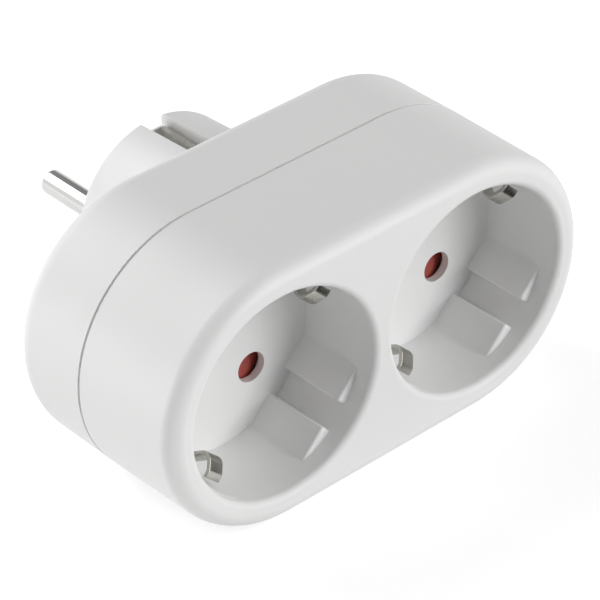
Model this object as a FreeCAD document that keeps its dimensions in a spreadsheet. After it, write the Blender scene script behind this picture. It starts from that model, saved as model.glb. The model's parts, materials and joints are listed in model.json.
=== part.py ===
import FreeCAD, Part
import os
import Sketcher
from FreeCAD import Placement, Rotation, Vector

# Multi socket adapter: a white moulded block with two earthed round sockets in front and one
# earthed round plug behind. Millimetres. The origin is the middle of the plug's flat end face.
# +Y runs out of the plug along its pins, -Y out of the sockets, X along the block, +Z up.
# Every height below is a distance forward of the plug's end face, so it grows along -Y.

SIZES = {
    # Sockets
    "socket_pitch": 43.0,  # from one socket's axis to the other's
    "socket_turn": 45.0,  # degrees that each socket is turned about its axis
    "recess_radius": 19.4,  # at the floor of the recess
    "recess_draft": 0.2,  # that the recess is wider at its mouth
    "recess_depth": 17.8,
    "rim_round": 1.2,
    "floor_thickness": 1.6,
    "hole_radius": 2.9,  # pin holes in the floor
    "pin_spacing": 19.0,  # between the pins of a plug, and the holes of a socket
    "guide_chord": 17.3,  # from the socket's axis to the flat of a guide block
    "guide_groove": 5.0,  # between the two blocks of a pair
    "guide_set_back": 4.0,  # from the front face to a block's front end
    "guide_round": 0.5,
    # Shell
    "cup_wall": 2.2,
    "core_gap": 1.4,  # between a cup's wall and the outer wall
    "shell_wall": 2.2,
    "front_depth": 23.5,  # from the front face to the parting line
    "draft_angle": 1.0,  # degrees
    "front_round": 3.0,
    "rear_round": 4.3,
    "rear_wall": 2.0,
    "seam_chamfer": 0.2,
    "lip_height": 1.8,
    "lip_gap": 0.1,
    # Plug
    "plug_length": 19.7,
    "plug_radius": 17.7,  # at the end face
    "plug_draft": 0.8,  # that the plug is wider at its root
    "plug_round": 1.0,
    "plug_bore": 13.4,  # radius of the hollow in the plug
    "plug_face_wall": 3.0,
    "flat_chord": 16.8,  # from the axis to the flats beside each rib
    "side_rib": 4.4,  # width of the rib between the flats
    "flat_reach": 7.5,  # half height of the flats
    "earth_groove": 5.0,  # width of the groove for the plug's earth contact
    "groove_floor": 15.0,  # from the axis to the floor of that groove
    # Pins
    "pin_radius": 2.4,
    "pin_length": 19.0,
    "pin_round": 2.0,
    "pin_gap": 0.05,
    "shank_radius": 2.6,  # in the plug's end wall
    "collar_radius": 3.4,
    "collar_thickness": 1.5,
    "neck_radius": 1.4,
    # Contacts and bars
    "tip_clearance": 0.7,  # from a pushed-in pin's tip to the contact's base
    "contact_thickness": 0.5,
    "contact_width": 5.0,
    "contact_reach": 10.5,  # length of the leaves
    "contact_mouth": 3.0,  # half opening at the mouth
    "contact_pinch": 2.25,  # half opening where the leaves grip
    "contact_base": 2.8,  # half width inside the base
    "contact_bend": 0.5,
    "busbar_thickness": 0.8,
    "busbar_width": 5.0,
    "busbar_overhang": 2.6,  # half width of the tab at the plug pin
    "busbar_end": 3.6,  # beyond the last rivet
    "rivet_radius": 0.95,
    "rivet_head": 1.6,
    "rivet_head_height": 0.35,
    "rivet_gap": 0.05,
    "rivet_room": 0.5,  # behind the busbars, to the rear wall
    # Earth parts
    "strip_thickness": 0.7,
    "clip_width": 5.6,
    "clip_slot": 6.8,
    "clip_peak": 15.75,  # from the socket's axis to the fold of the contact
    "clip_peak_depth": 5.6,
    "clip_end_depth": 3.3,
    "clip_upright": 20.0,  # from the socket's axis to the inner side of the upright
    "clip_tail_depth": 17.0,
    "clip_bend": 1.2,
    "slot_depth": 2.6,  # from the front face to the end of a clip's slot
    "slot_clearance": 0.6,
    "bracket_gap": 0.1,
    "link_width": 4.0,
    "plug_strip_width": 4.2,
    "plug_strip_end": 1.4,  # from the plug's end face to the strip's end
    "strap_gap": 1.8,  # from the busbars to the strap that crosses before them
    "post_radius": 2.0,
    "post_neck": 1.1,
    # Shutters
    "shutter_thickness": 2.0,
    "shutter_gap": 0.2,
    "shutter_arm": 13.0,
    "shutter_half_width": 4.1,
    "shutter_hub": 5.0,
    "arm_round": 2.5,
    "shutter_travel": 45.0,  # degrees
    "ramp_depth": 1.5,
    "ramp_start": 6.2,  # from the hub's axis
    "pivot_radius": 1.5,
    "pivot_gap": 0.05,
    "stop_radius": 1.0,
    "stop_place": 10.4,
    "stop_gap": 0.1,
    # Springs
    "wire_radius": 0.16,
    "coil_radius": 2.5,
    "coil_turns": 2.5,
    "coil_pitch": 0.4,
    "coil_pocket": 3.1,
    "coil_pocket_depth": 1.3,
    "spring_tip": 0.6,
    "tip_hole": 0.35,
    # Carrier
    "spring_room": 0.5,  # between the shutters and the carrier's plate
    "plate_thickness": 1.5,
    "tray_radius": 18.4,
    "tray_wall": 1.0,
    "tray_bridge": 12.0,
    "guide_hole_radius": 3.1,
    "tower_wall": 0.8,
    "tower_gap": 0.15,
    "seat_gap": 0.05,
    # Housing screws
    "screw_place": 14.5,  # outwards from a socket's axis
    "screw_radius": 1.45,
    "screw_head": 2.8,
    "screw_head_height": 1.8,
    "screw_sink": 6.0,  # from the rear face to the seat of the head
    "screw_engagement": 8.5,
    "screw_slot": 0.8,
    "screw_slot_depth": 1.1,
    "boss_radius": 3.2,
    "boss_reach": 10.0,  # behind the floor's back
    "rear_boss_radius": 4.5,
    "screw_gap": 0.15,
}

doc = FreeCAD.newDocument("multi_socket_adapter")
sheet = doc.addObject("Spreadsheet::Sheet", "Sizes")
for row, (alias, size) in enumerate(SIZES.items(), start=1):
    sheet.set(f"A{row}", alias)
    sheet.set(f"B{row}", str(size))
    sheet.setAlias(f"B{row}", alias)
doc.recompute()


def of(text):
    """Expression in which each size's name is read from the sheet."""
    words = []
    word = ""
    for letter in text + " ":
        if letter.isalnum() or letter == "_":
            word += letter
            continue
        words.append("Sizes." + word if word in SIZES else word)
        words.append(letter)
        word = ""
    return "(" + "".join(words).strip() + ")"


# Heights forward of the plug's end face
REAR = of("plug_length")
REAR_INNER = of("plug_length + rear_wall")
BUSBAR_BACK = of("plug_length + rear_wall + rivet_room")
BUSBAR_FRONT = f"({BUSBAR_BACK} + Sizes.busbar_thickness)"
CONTACT_SEAT = f"({BUSBAR_FRONT} + Sizes.contact_thickness)"
FLOOR = f"({CONTACT_SEAT} + Sizes.tip_clearance + Sizes.pin_length)"
FRONT = f"({FLOOR} + Sizes.recess_depth)"
PARTING = f"({FRONT} - Sizes.front_depth)"
FLOOR_BACK = f"({FLOOR} - Sizes.floor_thickness)"
SHUTTER_FRONT = f"({FLOOR_BACK} - Sizes.shutter_gap)"
SHUTTER_BACK = f"({SHUTTER_FRONT} - Sizes.shutter_thickness)"
PLATE_FRONT = f"({SHUTTER_BACK} - Sizes.spring_room)"
PLATE_BACK = f"({PLATE_FRONT} - Sizes.plate_thickness)"
BRACKET_FRONT = f"({PLATE_BACK} - Sizes.bracket_gap)"
BRACKET_BACK = f"({BRACKET_FRONT} - Sizes.strip_thickness)"
LINK_BACK = f"({BRACKET_BACK} - Sizes.strip_thickness)"
STRAP_BACK = f"({BUSBAR_FRONT} + Sizes.strap_gap)"
STRAP_FRONT = f"({STRAP_BACK} + Sizes.strip_thickness)"
BOSS_END = f"({FLOOR_BACK} - Sizes.boss_reach)"
SCREW_SEAT = of("plug_length + screw_sink")

# Distances across the block
HALF_PITCH = of("socket_pitch / 2")
HALF_PIN = of("pin_spacing / 2")
HALF_HEIGHT = of("recess_radius + cup_wall + core_gap + shell_wall")
TURN_X = f"({HALF_PIN} * cos(Sizes.socket_turn * 1 deg))"
TURN_Z = f"({HALF_PIN} * sin(Sizes.socket_turn * 1 deg))"
SCREW_X = of("socket_pitch / 2 + screw_place")


def value(expression):
    """Number that an expression over the sheet gives."""
    result = sheet.evalExpression(expression.replace("Sizes.", ""))
    return float(getattr(result, "Value", result))


def new_body(label, x=None, z=None, turn=None):
    """PartDesign body at x, z in the block, turned about Y by an angle in degrees."""
    body = doc.addObject("PartDesign::Body", label)
    body.Label = label
    if turn is not None:
        body.Placement = Placement(Vector(), Rotation(Vector(0, 1, 0), value(turn)))
        body.setExpression("Placement.Rotation.Angle", f"{turn} * 1 deg")
    if x is not None:
        body.setExpression("Placement.Base.x", x)
    if z is not None:
        body.setExpression("Placement.Base.z", z)
    return body


def sketch_on(body, name, role="XZ_Plane", height=None):
    """Sketch on one of the body's own origin planes, lifted along the plane's normal."""
    plane = next(item for item in body.Origin.OriginFeatures if item.Role == role)
    sketch = body.newObject("Sketcher::SketchObject", name)
    sketch.AttachmentSupport = [(plane, "")]
    sketch.MapMode = "FlatFace"
    if height is not None:
        sketch.setExpression("AttachmentOffset.Base.z", height)
    return sketch


def bind(sketch, name, constraint, expression):
    """Add a constraint whose size follows an expression."""
    index = sketch.addConstraint(constraint)
    sketch.renameConstraint(index, name)
    sketch.setExpression("Constraints." + name, expression)


def hold(sketch, name, geometry, point, place):
    """Hold a point of the sketch at a place given by two expressions."""
    for axis, distance in zip("XY", place):
        constraint = Sketcher.Constraint("Distance" + axis, -1, 1, geometry, point, value(distance))
        bind(sketch, f"{name}_{axis.lower()}", constraint, distance)


def draw_circle(sketch, name, place, radius):
    """Circle of a bound radius about a bound centre."""
    centre = Vector(value(place[0]), value(place[1]), 0)
    index = sketch.addGeometry(Part.Circle(centre, Vector(0, 0, 1), value(radius)))
    bind(sketch, name + "_radius", Sketcher.Constraint("Radius", index, value(radius)), radius)
    hold(sketch, name, index, 3, place)


def draw_polygon(sketch, name, corners):
    """Closed outline through bound corners."""
    points = [Vector(value(x), value(y), 0) for x, y in corners]
    lines = [
        sketch.addGeometry(Part.LineSegment(start, end))
        for start, end in zip(points, points[1:] + points[:1])
    ]
    for line, following in zip(lines, lines[1:] + lines[:1]):
        sketch.addConstraint(Sketcher.Constraint("Coincident", line, 2, following, 1))
    for number, (line, corner) in enumerate(zip(lines, corners)):
        hold(sketch, f"{name}_{number}", line, 1, corner)


def draw_box(sketch, name, low, high):
    """Rectangle between two bound corners."""
    corners = [low, (high[0], low[1]), high, (low[0], high[1])]
    draw_polygon(sketch, name, corners)


def draw_stadium(sketch, name, half_pitch, radius):
    """Two half circles joined by two straight sides, long along the sketch's first axis."""
    p, r = value(half_pitch), value(radius)
    top = sketch.addGeometry(Part.LineSegment(Vector(p, r, 0), Vector(-p, r, 0)))
    bottom = sketch.addGeometry(Part.LineSegment(Vector(-p, -r, 0), Vector(p, -r, 0)))
    ends = (("left", -p, (top, 2), (bottom, 1)), ("right", p, (bottom, 2), (top, 1)))
    corners = (
        (top, 1, "", ""),
        (top, 2, "-", ""),
        (bottom, 1, "-", "-"),
        (bottom, 2, "", "-"),
    )
    for line, point, sign_x, sign_y in corners:
        hold(sketch, f"{name}_{line}_{point}", line, point, (sign_x + half_pitch, sign_y + radius))
    for side, centre_x, start, end in ends:
        begin = sketch.getPoint(*start)
        middle = Vector(centre_x + (r if centre_x > 0 else -r), 0, 0)
        arc = sketch.addGeometry(Part.Arc(begin, middle, sketch.getPoint(*end)))
        first, last = (start, end)
        if (sketch.getPoint(arc, 1) - begin).Length > r:
            first, last = (end, start)
        sketch.addConstraint(Sketcher.Constraint("Coincident", arc, 1, *first))
        sketch.addConstraint(Sketcher.Constraint("Coincident", arc, 2, *last))
        centre = ("-" if centre_x < 0 else "") + half_pitch
        constraint = Sketcher.Constraint("DistanceX", -1, 1, arc, 3, centre_x)
        bind(sketch, f"{name}_{side}_centre", constraint, centre)


def draw_strip(sketch, name, corners, thickness):
    """Closed section of a folded strip: one side through bound corners, the other beside it on
    the left, parallel to it at the strip's thickness. Returns the hollow and the full corner of
    every fold."""
    points = [Vector(value(x), value(y), 0) for x, y in corners]
    gap = value(thickness)
    directions = [(end - start).normalize() for start, end in zip(points, points[1:])]
    normals = [Vector(-way.y, way.x, 0) for way in directions]
    beside = [points[0] + normals[0] * gap]
    for point, before, after in zip(points[1:-1], normals, normals[1:]):
        mitre = before + after
        beside.append(point + mitre * (gap / mitre.dot(before)))
    beside.append(points[-1] + normals[-1] * gap)
    guide = [sketch.addGeometry(Part.LineSegment(a, b)) for a, b in zip(points, points[1:])]
    other = [sketch.addGeometry(Part.LineSegment(a, b)) for a, b in zip(beside, beside[1:])]
    for run in (guide, other):
        for line, following in zip(run, run[1:]):
            sketch.addConstraint(Sketcher.Constraint("Coincident", line, 2, following, 1))
    for number, (line, corner) in enumerate(zip(guide, corners)):
        hold(sketch, f"{name}_{number}", line, 1, corner)
    hold(sketch, f"{name}_end", guide[-1], 2, corners[-1])
    for number, (line, mate) in enumerate(zip(guide, other)):
        sketch.addConstraint(Sketcher.Constraint("Parallel", line, mate))
        constraint = Sketcher.Constraint("Distance", line, 1, mate, gap)
        bind(sketch, f"{name}_gap_{number}", constraint, thickness)
    for line, point, mate in ((guide[0], 1, other[0]), (guide[-1], 2, other[-1])):
        start, end = sketch.getPoint(line, point), sketch.getPoint(mate, point)
        cap = sketch.addGeometry(Part.LineSegment(start, end))
        sketch.addConstraint(Sketcher.Constraint("Coincident", cap, 1, line, point))
        sketch.addConstraint(Sketcher.Constraint("Coincident", cap, 2, mate, point))
        sketch.addConstraint(Sketcher.Constraint("Perpendicular", cap, line))
    hollows, fulls = [], []
    for here, aside, before, after in zip(points[1:-1], beside[1:-1], directions, directions[1:]):
        turns_left = before.x * after.y - before.y * after.x > 0
        hollows.append(aside if turns_left else here)
        fulls.append(here if turns_left else aside)
    return hollows, fulls


def fold_strip(body, name, folds, radius, thickness):
    """Round a strip's folds: its hollow corners at the bend's radius, its full ones further by
    the thickness. The strip's section is in the YZ plane. Returns the two features."""
    rounded = []
    for kind, corners, size in zip(("hollow", "full"), folds, (radius, f"({radius} + {thickness})")):

        def at_fold(edge):
            """Whether an edge across the strip stands at one of the folds."""
            if not runs_along(edge, "X"):
                return False
            centre = edge.BoundBox.Center
            return any(abs(centre.y - at.x) < 1e-3 and abs(centre.z - at.y) < 1e-3 for at in corners)

        rounded.append(dress(body, "Fillet", f"{name}_{kind}", size, at_fold))
    return rounded


def feature(body, kind, name, sketch, **settings):
    """Sketch-based feature, its lengths and angles bound to expressions."""
    before = body.Shape.Volume if body.Tip else 0.0
    item = body.newObject("PartDesign::" + kind, name)
    item.Profile = sketch
    for key, setting in settings.items():
        if isinstance(setting, str) and key not in ("Type", "Mode"):
            item.setExpression(key, setting)
        else:
            setattr(item, key, setting)
    doc.recompute()
    after = body.Shape.Volume
    cuts = kind in ("Pocket", "Groove")
    if cuts and after > before - 1e-6 or not cuts and after < before + 1e-6:
        raise RuntimeError(f"{body.Label}: {name} changes nothing")
    return item


def pad(body, name, sketch, length, **settings):
    """Pad from the sketch towards the front."""
    return feature(body, "Pad", name, sketch, Length=length, **settings)


def pocket(body, name, sketch, length, **settings):
    """Pocket from the sketch towards the plug."""
    return feature(body, "Pocket", name, sketch, Length=length, **settings)


def revolve(body, name, sketch, kind="Revolution"):
    """Turned form about the sketch's upright axis."""
    return feature(body, kind, name, sketch, ReferenceAxis=(sketch, ["V_Axis"]))


def repeat(body, kind, name, originals, **settings):
    """Pattern or mirror of earlier features, made the body's tip."""
    before = body.Shape.Volume
    item = body.newObject("PartDesign::" + kind, name)
    item.Originals = originals
    for key, setting in settings.items():
        if isinstance(setting, str):
            item.setExpression(key, setting)
        else:
            setattr(item, key, setting)
    body.Tip = item
    doc.recompute()
    if abs(body.Shape.Volume - before) < 1e-6:
        raise RuntimeError(f"{body.Label}: {name} changes nothing")
    return item


def origin_plane(body, role):
    """One of the body's own origin planes or axes."""
    return (next(item for item in body.Origin.OriginFeatures if item.Role == role), [""])


def dress(body, kind, name, size, wanted):
    """Fillet or chamfer on the edges of the body's tip that a test picks."""
    tip = body.Tip
    picked = [f"Edge{number}" for number, edge in enumerate(tip.Shape.Edges, start=1) if wanted(edge)]
    if not picked:
        raise RuntimeError(f"{body.Label}: {name} finds no edge")
    item = body.newObject("PartDesign::" + kind, name)
    item.Base = (tip, picked)
    item.setExpression("Radius" if kind == "Fillet" else "Size", size)
    doc.recompute()
    return item


def lies_at(edge, height):
    """Whether the whole edge lies at one height."""
    y = -value(height)
    return abs(edge.BoundBox.YMin - y) < 1e-4 and abs(edge.BoundBox.YMax - y) < 1e-4


def runs_along(edge, axis):
    """Whether the edge is straight along one axis."""
    spans = {"X": edge.BoundBox.XLength, "Y": edge.BoundBox.YLength, "Z": edge.BoundBox.ZLength}
    return spans.pop(axis) > 1e-3 and max(spans.values()) < 1e-4


def join(kind, label, first, *others):
    """Boolean of whole sub-parts."""
    if kind == "Part::Cut":
        result = doc.addObject(kind, label)
        result.Base = first
        result.Tool = others[0]
    else:
        result = doc.addObject(kind, label)
        result.Shapes = [first, *others]
    result.Label = label
    result.Refine = True
    doc.recompute()
    return result


# Front housing

def front_shell():
    """Hollow front half of the block with the bosses of the two housing screws and the lip that
    enters the rear housing."""
    body = new_body("front_shell")
    outline = sketch_on(body, "front_outline", height=PARTING)
    draw_stadium(outline, "outline", HALF_PITCH, HALF_HEIGHT)
    pad(body, "front_block", outline, of("front_depth"), TaperAngle=of("-draft_angle * 1 deg"))
    dress(body, "Fillet", "front_rounding", of("front_round"), lambda edge: lies_at(edge, FRONT))
    dress(body, "Chamfer", "front_seam", of("seam_chamfer"), lambda edge: lies_at(edge, PARTING))
    inside = sketch_on(body, "front_inside", height=PARTING)
    draw_stadium(inside, "inside", HALF_PITCH, f"({HALF_HEIGHT} - Sizes.shell_wall)")
    depth = of("front_depth - shell_wall")
    pocket(body, "front_hollow", inside, depth, Reversed=True, TaperAngle=of("-draft_angle * 1 deg"))
    lip = sketch_on(body, "lip_ring", height=PARTING)
    draw_stadium(lip, "lip_outer", HALF_PITCH, f"({HALF_HEIGHT} - Sizes.shell_wall / 2 - Sizes.lip_gap)")
    draw_stadium(lip, "lip_inner", HALF_PITCH, f"({HALF_HEIGHT} - Sizes.shell_wall)")
    pad(body, "lip", lip, of("lip_height"), Reversed=True)
    return body


def socket_form(side, x):
    """What each socket adds: its cup, the shutter's pivot and its two stops, in the socket's own
    frame, where X runs along the pin holes and Z along the earth clips."""
    body = new_body(f"socket_form_{side}", x=x, turn=of("socket_turn"))
    cup = sketch_on(body, "cup_circle", height=FLOOR_BACK)
    draw_circle(cup, "cup", ("0", "0"), of("recess_radius + cup_wall"))
    pad(body, "cup", cup, of("recess_depth + floor_thickness - shell_wall / 2"))
    pivot = sketch_on(body, "pivot_circle", height=FLOOR_BACK)
    draw_circle(pivot, "pivot", ("0", "0"), of("pivot_radius"))
    reach = of("shutter_gap + shutter_thickness + spring_room + plate_thickness / 2")
    pad(body, "pivot", pivot, reach, Reversed=True)
    stops = sketch_on(body, "stop_circles", height=FLOOR_BACK)
    beside = of("shutter_half_width + stop_gap + stop_radius")
    draw_circle(stops, "rest_stop", (of("stop_place"), beside), of("stop_radius"))
    along = of("stop_place")
    turned = "(Sizes.shutter_travel * 1 deg)"
    turned_x = f"({along} * cos{turned} - {beside} * sin{turned})"
    turned_z = f"(-{along} * sin{turned} - {beside} * cos{turned})"
    draw_circle(stops, "open_stop", (turned_x, turned_z), of("stop_radius"))
    pad(body, "stops", stops, of("shutter_gap + shutter_thickness"), Reversed=True)
    return body


def socket_cavity(side, x):
    """What each socket removes: the recess with its rounded rim, less the guide blocks, and the
    pin holes and earth clip slots, in the socket's own frame."""
    body = new_body(f"socket_cavity_{side}", x=x, turn=of("socket_turn"))
    mouth = of("recess_radius + recess_draft")
    profile = sketch_on(body, "recess_profile", role="XY_Plane")
    rim = of("recess_radius + recess_draft + rim_round * 2")
    corners = [
        ("0", f"(-{FLOOR})"),
        (of("recess_radius"), f"(-{FLOOR})"),
        (mouth, f"(-{FRONT})"),
        (rim, f"(-{FRONT})"),
        (rim, f"(-{FRONT} - Sizes.rim_round)"),
        ("0", f"(-{FRONT} - Sizes.rim_round)"),
    ]
    draw_polygon(profile, "recess", corners)
    revolve(body, "recess", profile)
    mouth_size = value(mouth)

    def mouth_edge(edge):
        """Edge between the recess's wall and the front face."""
        return lies_at(edge, FRONT) and abs(edge.BoundBox.XMax - mouth_size) < 1e-3

    dress(body, "Fillet", "rim_rounding", of("rim_round"), mouth_edge)
    guides = sketch_on(body, "guide_boxes", height=FLOOR)
    half = of("guide_groove / 2")
    end = of("recess_radius / 2")
    chord = of("guide_chord")
    beyond = of("recess_radius + cup_wall / 2")
    for name, sx, sz in (("a", "", ""), ("b", "", "-"), ("c", "-", ""), ("d", "-", "-")):
        draw_box(guides, name, (sx + chord, sz + half), (sx + beyond, sz + end))
    pocket(body, "guides", guides, of("recess_depth - guide_set_back"), Reversed=True)
    chord_size = value(chord)
    half_size = value(half)

    def guide_corner(edge):
        """Lengthwise corner of a guide block beside the groove."""
        box = edge.BoundBox
        upright = runs_along(edge, "Y") and box.YLength > 5
        return upright and abs(abs(box.Center.x) - chord_size) < 0.01 and abs(box.Center.z) < half_size + 0.1

    dress(body, "Fillet", "guide_rounding", of("guide_round"), guide_corner)
    holes = sketch_on(body, "hole_circles", height=f"({FLOOR} + Sizes.floor_thickness)")
    for name, sign in (("near", ""), ("far", "-")):
        draw_circle(holes, name, (sign + HALF_PIN, "0"), of("hole_radius"))
    pocket_depth = of("floor_thickness * 3")
    pad(body, "pin_holes", holes, pocket_depth, Reversed=True)
    slots = sketch_on(body, "slot_boxes", height=f"({FRONT} - Sizes.slot_depth)")
    half = of("clip_slot / 2")
    inner = of("recess_radius - 2.5 * slot_clearance")
    outer = of("recess_radius + cup_wall + slot_clearance")
    for name, sign in (("upper", ""), ("lower", "-")):
        draw_box(slots, name, ("-" + half, sign + inner), (half, sign + outer))
    length = of("recess_depth + floor_thickness * 2 - slot_depth")
    pad(body, "clip_slots", slots, length, Reversed=True)
    return body


def front_housing():
    """One moulding: the front shell with both sockets."""
    parts = [front_shell()]
    cavities = []
    for side, sign in (("left", "-"), ("right", "")):
        parts.append(socket_form(side, sign + HALF_PITCH))
        cavities.append(socket_cavity(side, sign + HALF_PITCH))
        parts.append(front_boss(side, sign + SCREW_X))
        cavities.append(front_pilot(side, sign + SCREW_X))
    solid = join("Part::MultiFuse", "front_solid", *parts)
    hollow = join("Part::MultiFuse", "front_cavities", *cavities)
    return join("Part::Cut", "front_housing", solid, hollow)


def front_boss(side, x):
    """Boss behind a cup's floor that a housing screw bites into."""
    body = new_body(f"front_boss_{side}", x=x)
    circle = sketch_on(body, "boss_circle", height=BOSS_END)
    draw_circle(circle, "boss", ("0", "0"), of("boss_radius"))
    pad(body, "boss", circle, of("boss_reach + floor_thickness / 2"))
    return body


def front_pilot(side, x):
    """Blind hole of that boss."""
    body = new_body(f"front_pilot_{side}", x=x)
    circle = sketch_on(body, "pilot_circle", height=f"({BOSS_END} - Sizes.screw_gap)")
    draw_circle(circle, "pilot", ("0", "0"), of("screw_radius + pin_gap"))
    pad(body, "pilot", circle, of("screw_gap + screw_engagement + screw_gap"))
    return body


# Rear housing

def rear_housing():
    """One moulding: the rear cover and the hollow plug body, with its earth grooves, side flats
    and ribs, pin holes, ribs that back the busbars and the sunk holes of the housing screws."""
    body = new_body("rear_housing")
    outline = sketch_on(body, "rear_outline", height=PARTING)
    draw_stadium(outline, "outline", HALF_PITCH, HALF_HEIGHT)
    pad(body, "rear_block", outline, f"({PARTING} - {REAR})", Reversed=True)
    dress(body, "Fillet", "rear_rounding", of("rear_round"), lambda edge: lies_at(edge, REAR))
    dress(body, "Chamfer", "rear_seam", of("seam_chamfer"), lambda edge: lies_at(edge, PARTING))
    inside = sketch_on(body, "rear_inside", height=PARTING)
    draw_stadium(inside, "inside", HALF_PITCH, f"({HALF_HEIGHT} - Sizes.shell_wall)")
    pocket(body, "rear_hollow", inside, f"({PARTING} - {REAR_INNER})")
    rebate = sketch_on(body, "rebate_outline", height=PARTING)
    draw_stadium(rebate, "rebate", HALF_PITCH, f"({HALF_HEIGHT} - Sizes.shell_wall / 2)")
    pocket(body, "rebate", rebate, of("lip_height + lip_gap"))
    plug = sketch_on(body, "plug_profile", role="XY_Plane")
    root = of("plug_radius + plug_draft")
    plug_corners = [
        ("0", "0"),
        (of("plug_radius"), "0"),
        (root, f"(-{REAR})"),
        (root, f"(-{REAR} - Sizes.rear_wall / 2)"),
        ("0", f"(-{REAR} - Sizes.rear_wall / 2)"),
    ]
    draw_polygon(plug, "plug", plug_corners)
    revolve(body, "plug", plug)
    dress(body, "Fillet", "plug_rounding", of("plug_round"), lambda edge: lies_at(edge, "0"))
    bore = sketch_on(body, "plug_bore", height=f"({REAR_INNER} + Sizes.rear_wall)")
    draw_circle(bore, "bore", ("0", "0"), of("plug_bore"))
    pocket(body, "plug_hollow", bore, f"({REAR_INNER} + Sizes.rear_wall - Sizes.plug_face_wall)")
    groove = sketch_on(body, "earth_grooves")
    half = of("earth_groove / 2")
    beyond = of("plug_radius + plug_draft + plug_round")
    for name, sign in (("upper", ""), ("lower", "-")):
        draw_box(groove, name, ("-" + half, sign + of("groove_floor")), (half, sign + beyond))
    pocket(body, "earth_grooves", groove, REAR, Reversed=True)
    slot = sketch_on(body, "earth_slots", height=f"({REAR} - Sizes.rear_wall)")
    ceiling = of("groove_floor + strip_thickness + seat_gap * 4")
    for name, sign in (("upper", ""), ("lower", "-")):
        draw_box(slot, name, ("-" + half, sign + of("groove_floor")), (half, sign + ceiling))
    pocket(body, "earth_slots", slot, of("rear_wall * 3"), Reversed=True)
    flats = sketch_on(body, "side_flats")
    rib = of("side_rib / 2")
    for name, sx, sz in (("a", "", ""), ("b", "", "-"), ("c", "-", ""), ("d", "-", "-")):
        low = (sx + of("flat_chord"), sz + rib)
        draw_box(flats, name, low, (sx + beyond, sz + of("flat_reach")))
    pocket(body, "side_flats", flats, REAR, Reversed=True)
    pins = sketch_on(body, "pin_circles")
    for name, sign in (("left", "-"), ("right", "")):
        draw_circle(pins, name, (sign + HALF_PIN, "0"), of("shank_radius + pin_gap"))
    pocket(body, "pin_holes", pins, of("plug_face_wall * 2"), Reversed=True)
    seats = sketch_on(body, "collar_circles", height=of("plug_face_wall * 2"))
    for name, sign in (("left", "-"), ("right", "")):
        draw_circle(seats, name, (sign + HALF_PIN, "0"), of("collar_radius + pin_gap"))
    pocket(body, "collar_seats", seats, of("plug_face_wall + collar_thickness"))
    rear_bosses(body)
    busbar_ribs(body)
    return body


def rear_bosses(body):
    """Bosses and sunk, through holes of the housing screws."""
    height = f"({BOSS_END} - Sizes.screw_gap)"
    circle = sketch_on(body, "rear_boss_circles", height=height)
    for name, sign in (("left", "-"), ("right", "")):
        draw_circle(circle, name, (sign + SCREW_X, "0"), of("rear_boss_radius"))
    pad(body, "rear_bosses", circle, f"({height} - {REAR_INNER} + Sizes.rear_wall / 2)", Reversed=True)
    through = sketch_on(body, "screw_circles", height=height)
    for name, sign in (("left", "-"), ("right", "")):
        draw_circle(through, name, (sign + SCREW_X, "0"), of("screw_radius + screw_gap"))
    pocket(body, "screw_holes", through, f"({height} - {REAR})")
    sunk = sketch_on(body, "sink_circles", height=REAR)
    for name, sign in (("left", "-"), ("right", "")):
        draw_circle(sunk, name, (sign + SCREW_X, "0"), of("screw_head + screw_gap"))
    pocket(body, "screw_sinks", sunk, of("screw_sink"), Reversed=True)


def busbar_ribs(body):
    """A rib under each end of both busbars."""
    height = f"({BUSBAR_BACK} - Sizes.seat_gap)"
    ribs = sketch_on(body, "rib_boxes", height=height)
    start = of("rivet_head + seat_gap * 4")
    end = of("busbar_end")
    low = f"({TURN_Z} - Sizes.busbar_width / 2)"
    high = f"({TURN_Z} + Sizes.busbar_width / 2)"
    places = (("far", f"({HALF_PITCH} + {TURN_X})"), ("near", f"({HALF_PITCH} - {TURN_X})"))
    for bar, up, sides in (("upper", "", "-+"), ("lower", "-", "+-")):
        for (name, place), side in zip(places, sides):
            sign = side.replace("+", "")
            first = (f"{sign}({place} + {start})", up + low)
            draw_box(ribs, f"{bar}_{name}", first, (f"{sign}({place} + {end})", up + high))
    pad(body, "busbar_ribs", ribs, f"({height} - {REAR_INNER} + Sizes.rear_wall / 2)", Reversed=True)


# Plug pins

def plug_pin(side, x):
    """Solid round pin with a rounded tip, a collar behind the plug's end wall and a neck riveted
    over at its busbar."""
    body = new_body(f"plug_pin_{side}", x=x)
    profile = sketch_on(body, "pin_profile", role="XY_Plane")
    collar_back = of("-plug_face_wall")
    collar_front = of("-plug_face_wall + collar_thickness")
    head = f"(-{BUSBAR_FRONT} - Sizes.rivet_head_height)"
    corners = [
        ("0", of("pin_length")),
        (of("pin_radius"), of("pin_length")),
        (of("pin_radius"), "0"),
        (of("shank_radius"), "0"),
        (of("shank_radius"), collar_front),
        (of("collar_radius"), collar_front),
        (of("collar_radius"), collar_back),
        (of("pin_radius"), collar_back),
        (of("pin_radius"), f"(-{BUSBAR_BACK})"),
        (of("neck_radius"), f"(-{BUSBAR_BACK})"),
        (of("neck_radius"), f"(-{BUSBAR_FRONT})"),
        (of("neck_radius + rivet_head - rivet_radius"), f"(-{BUSBAR_FRONT})"),
        (of("neck_radius + rivet_head - rivet_radius"), head),
        ("0", head),
    ]
    draw_polygon(profile, "pin", corners)
    revolve(body, "pin", profile)
    dress(body, "Fillet", "pin_tip", of("pin_round"), lambda edge: lies_at(edge, of("-pin_length")))
    return body


# Contacts, busbars and rivets

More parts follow.
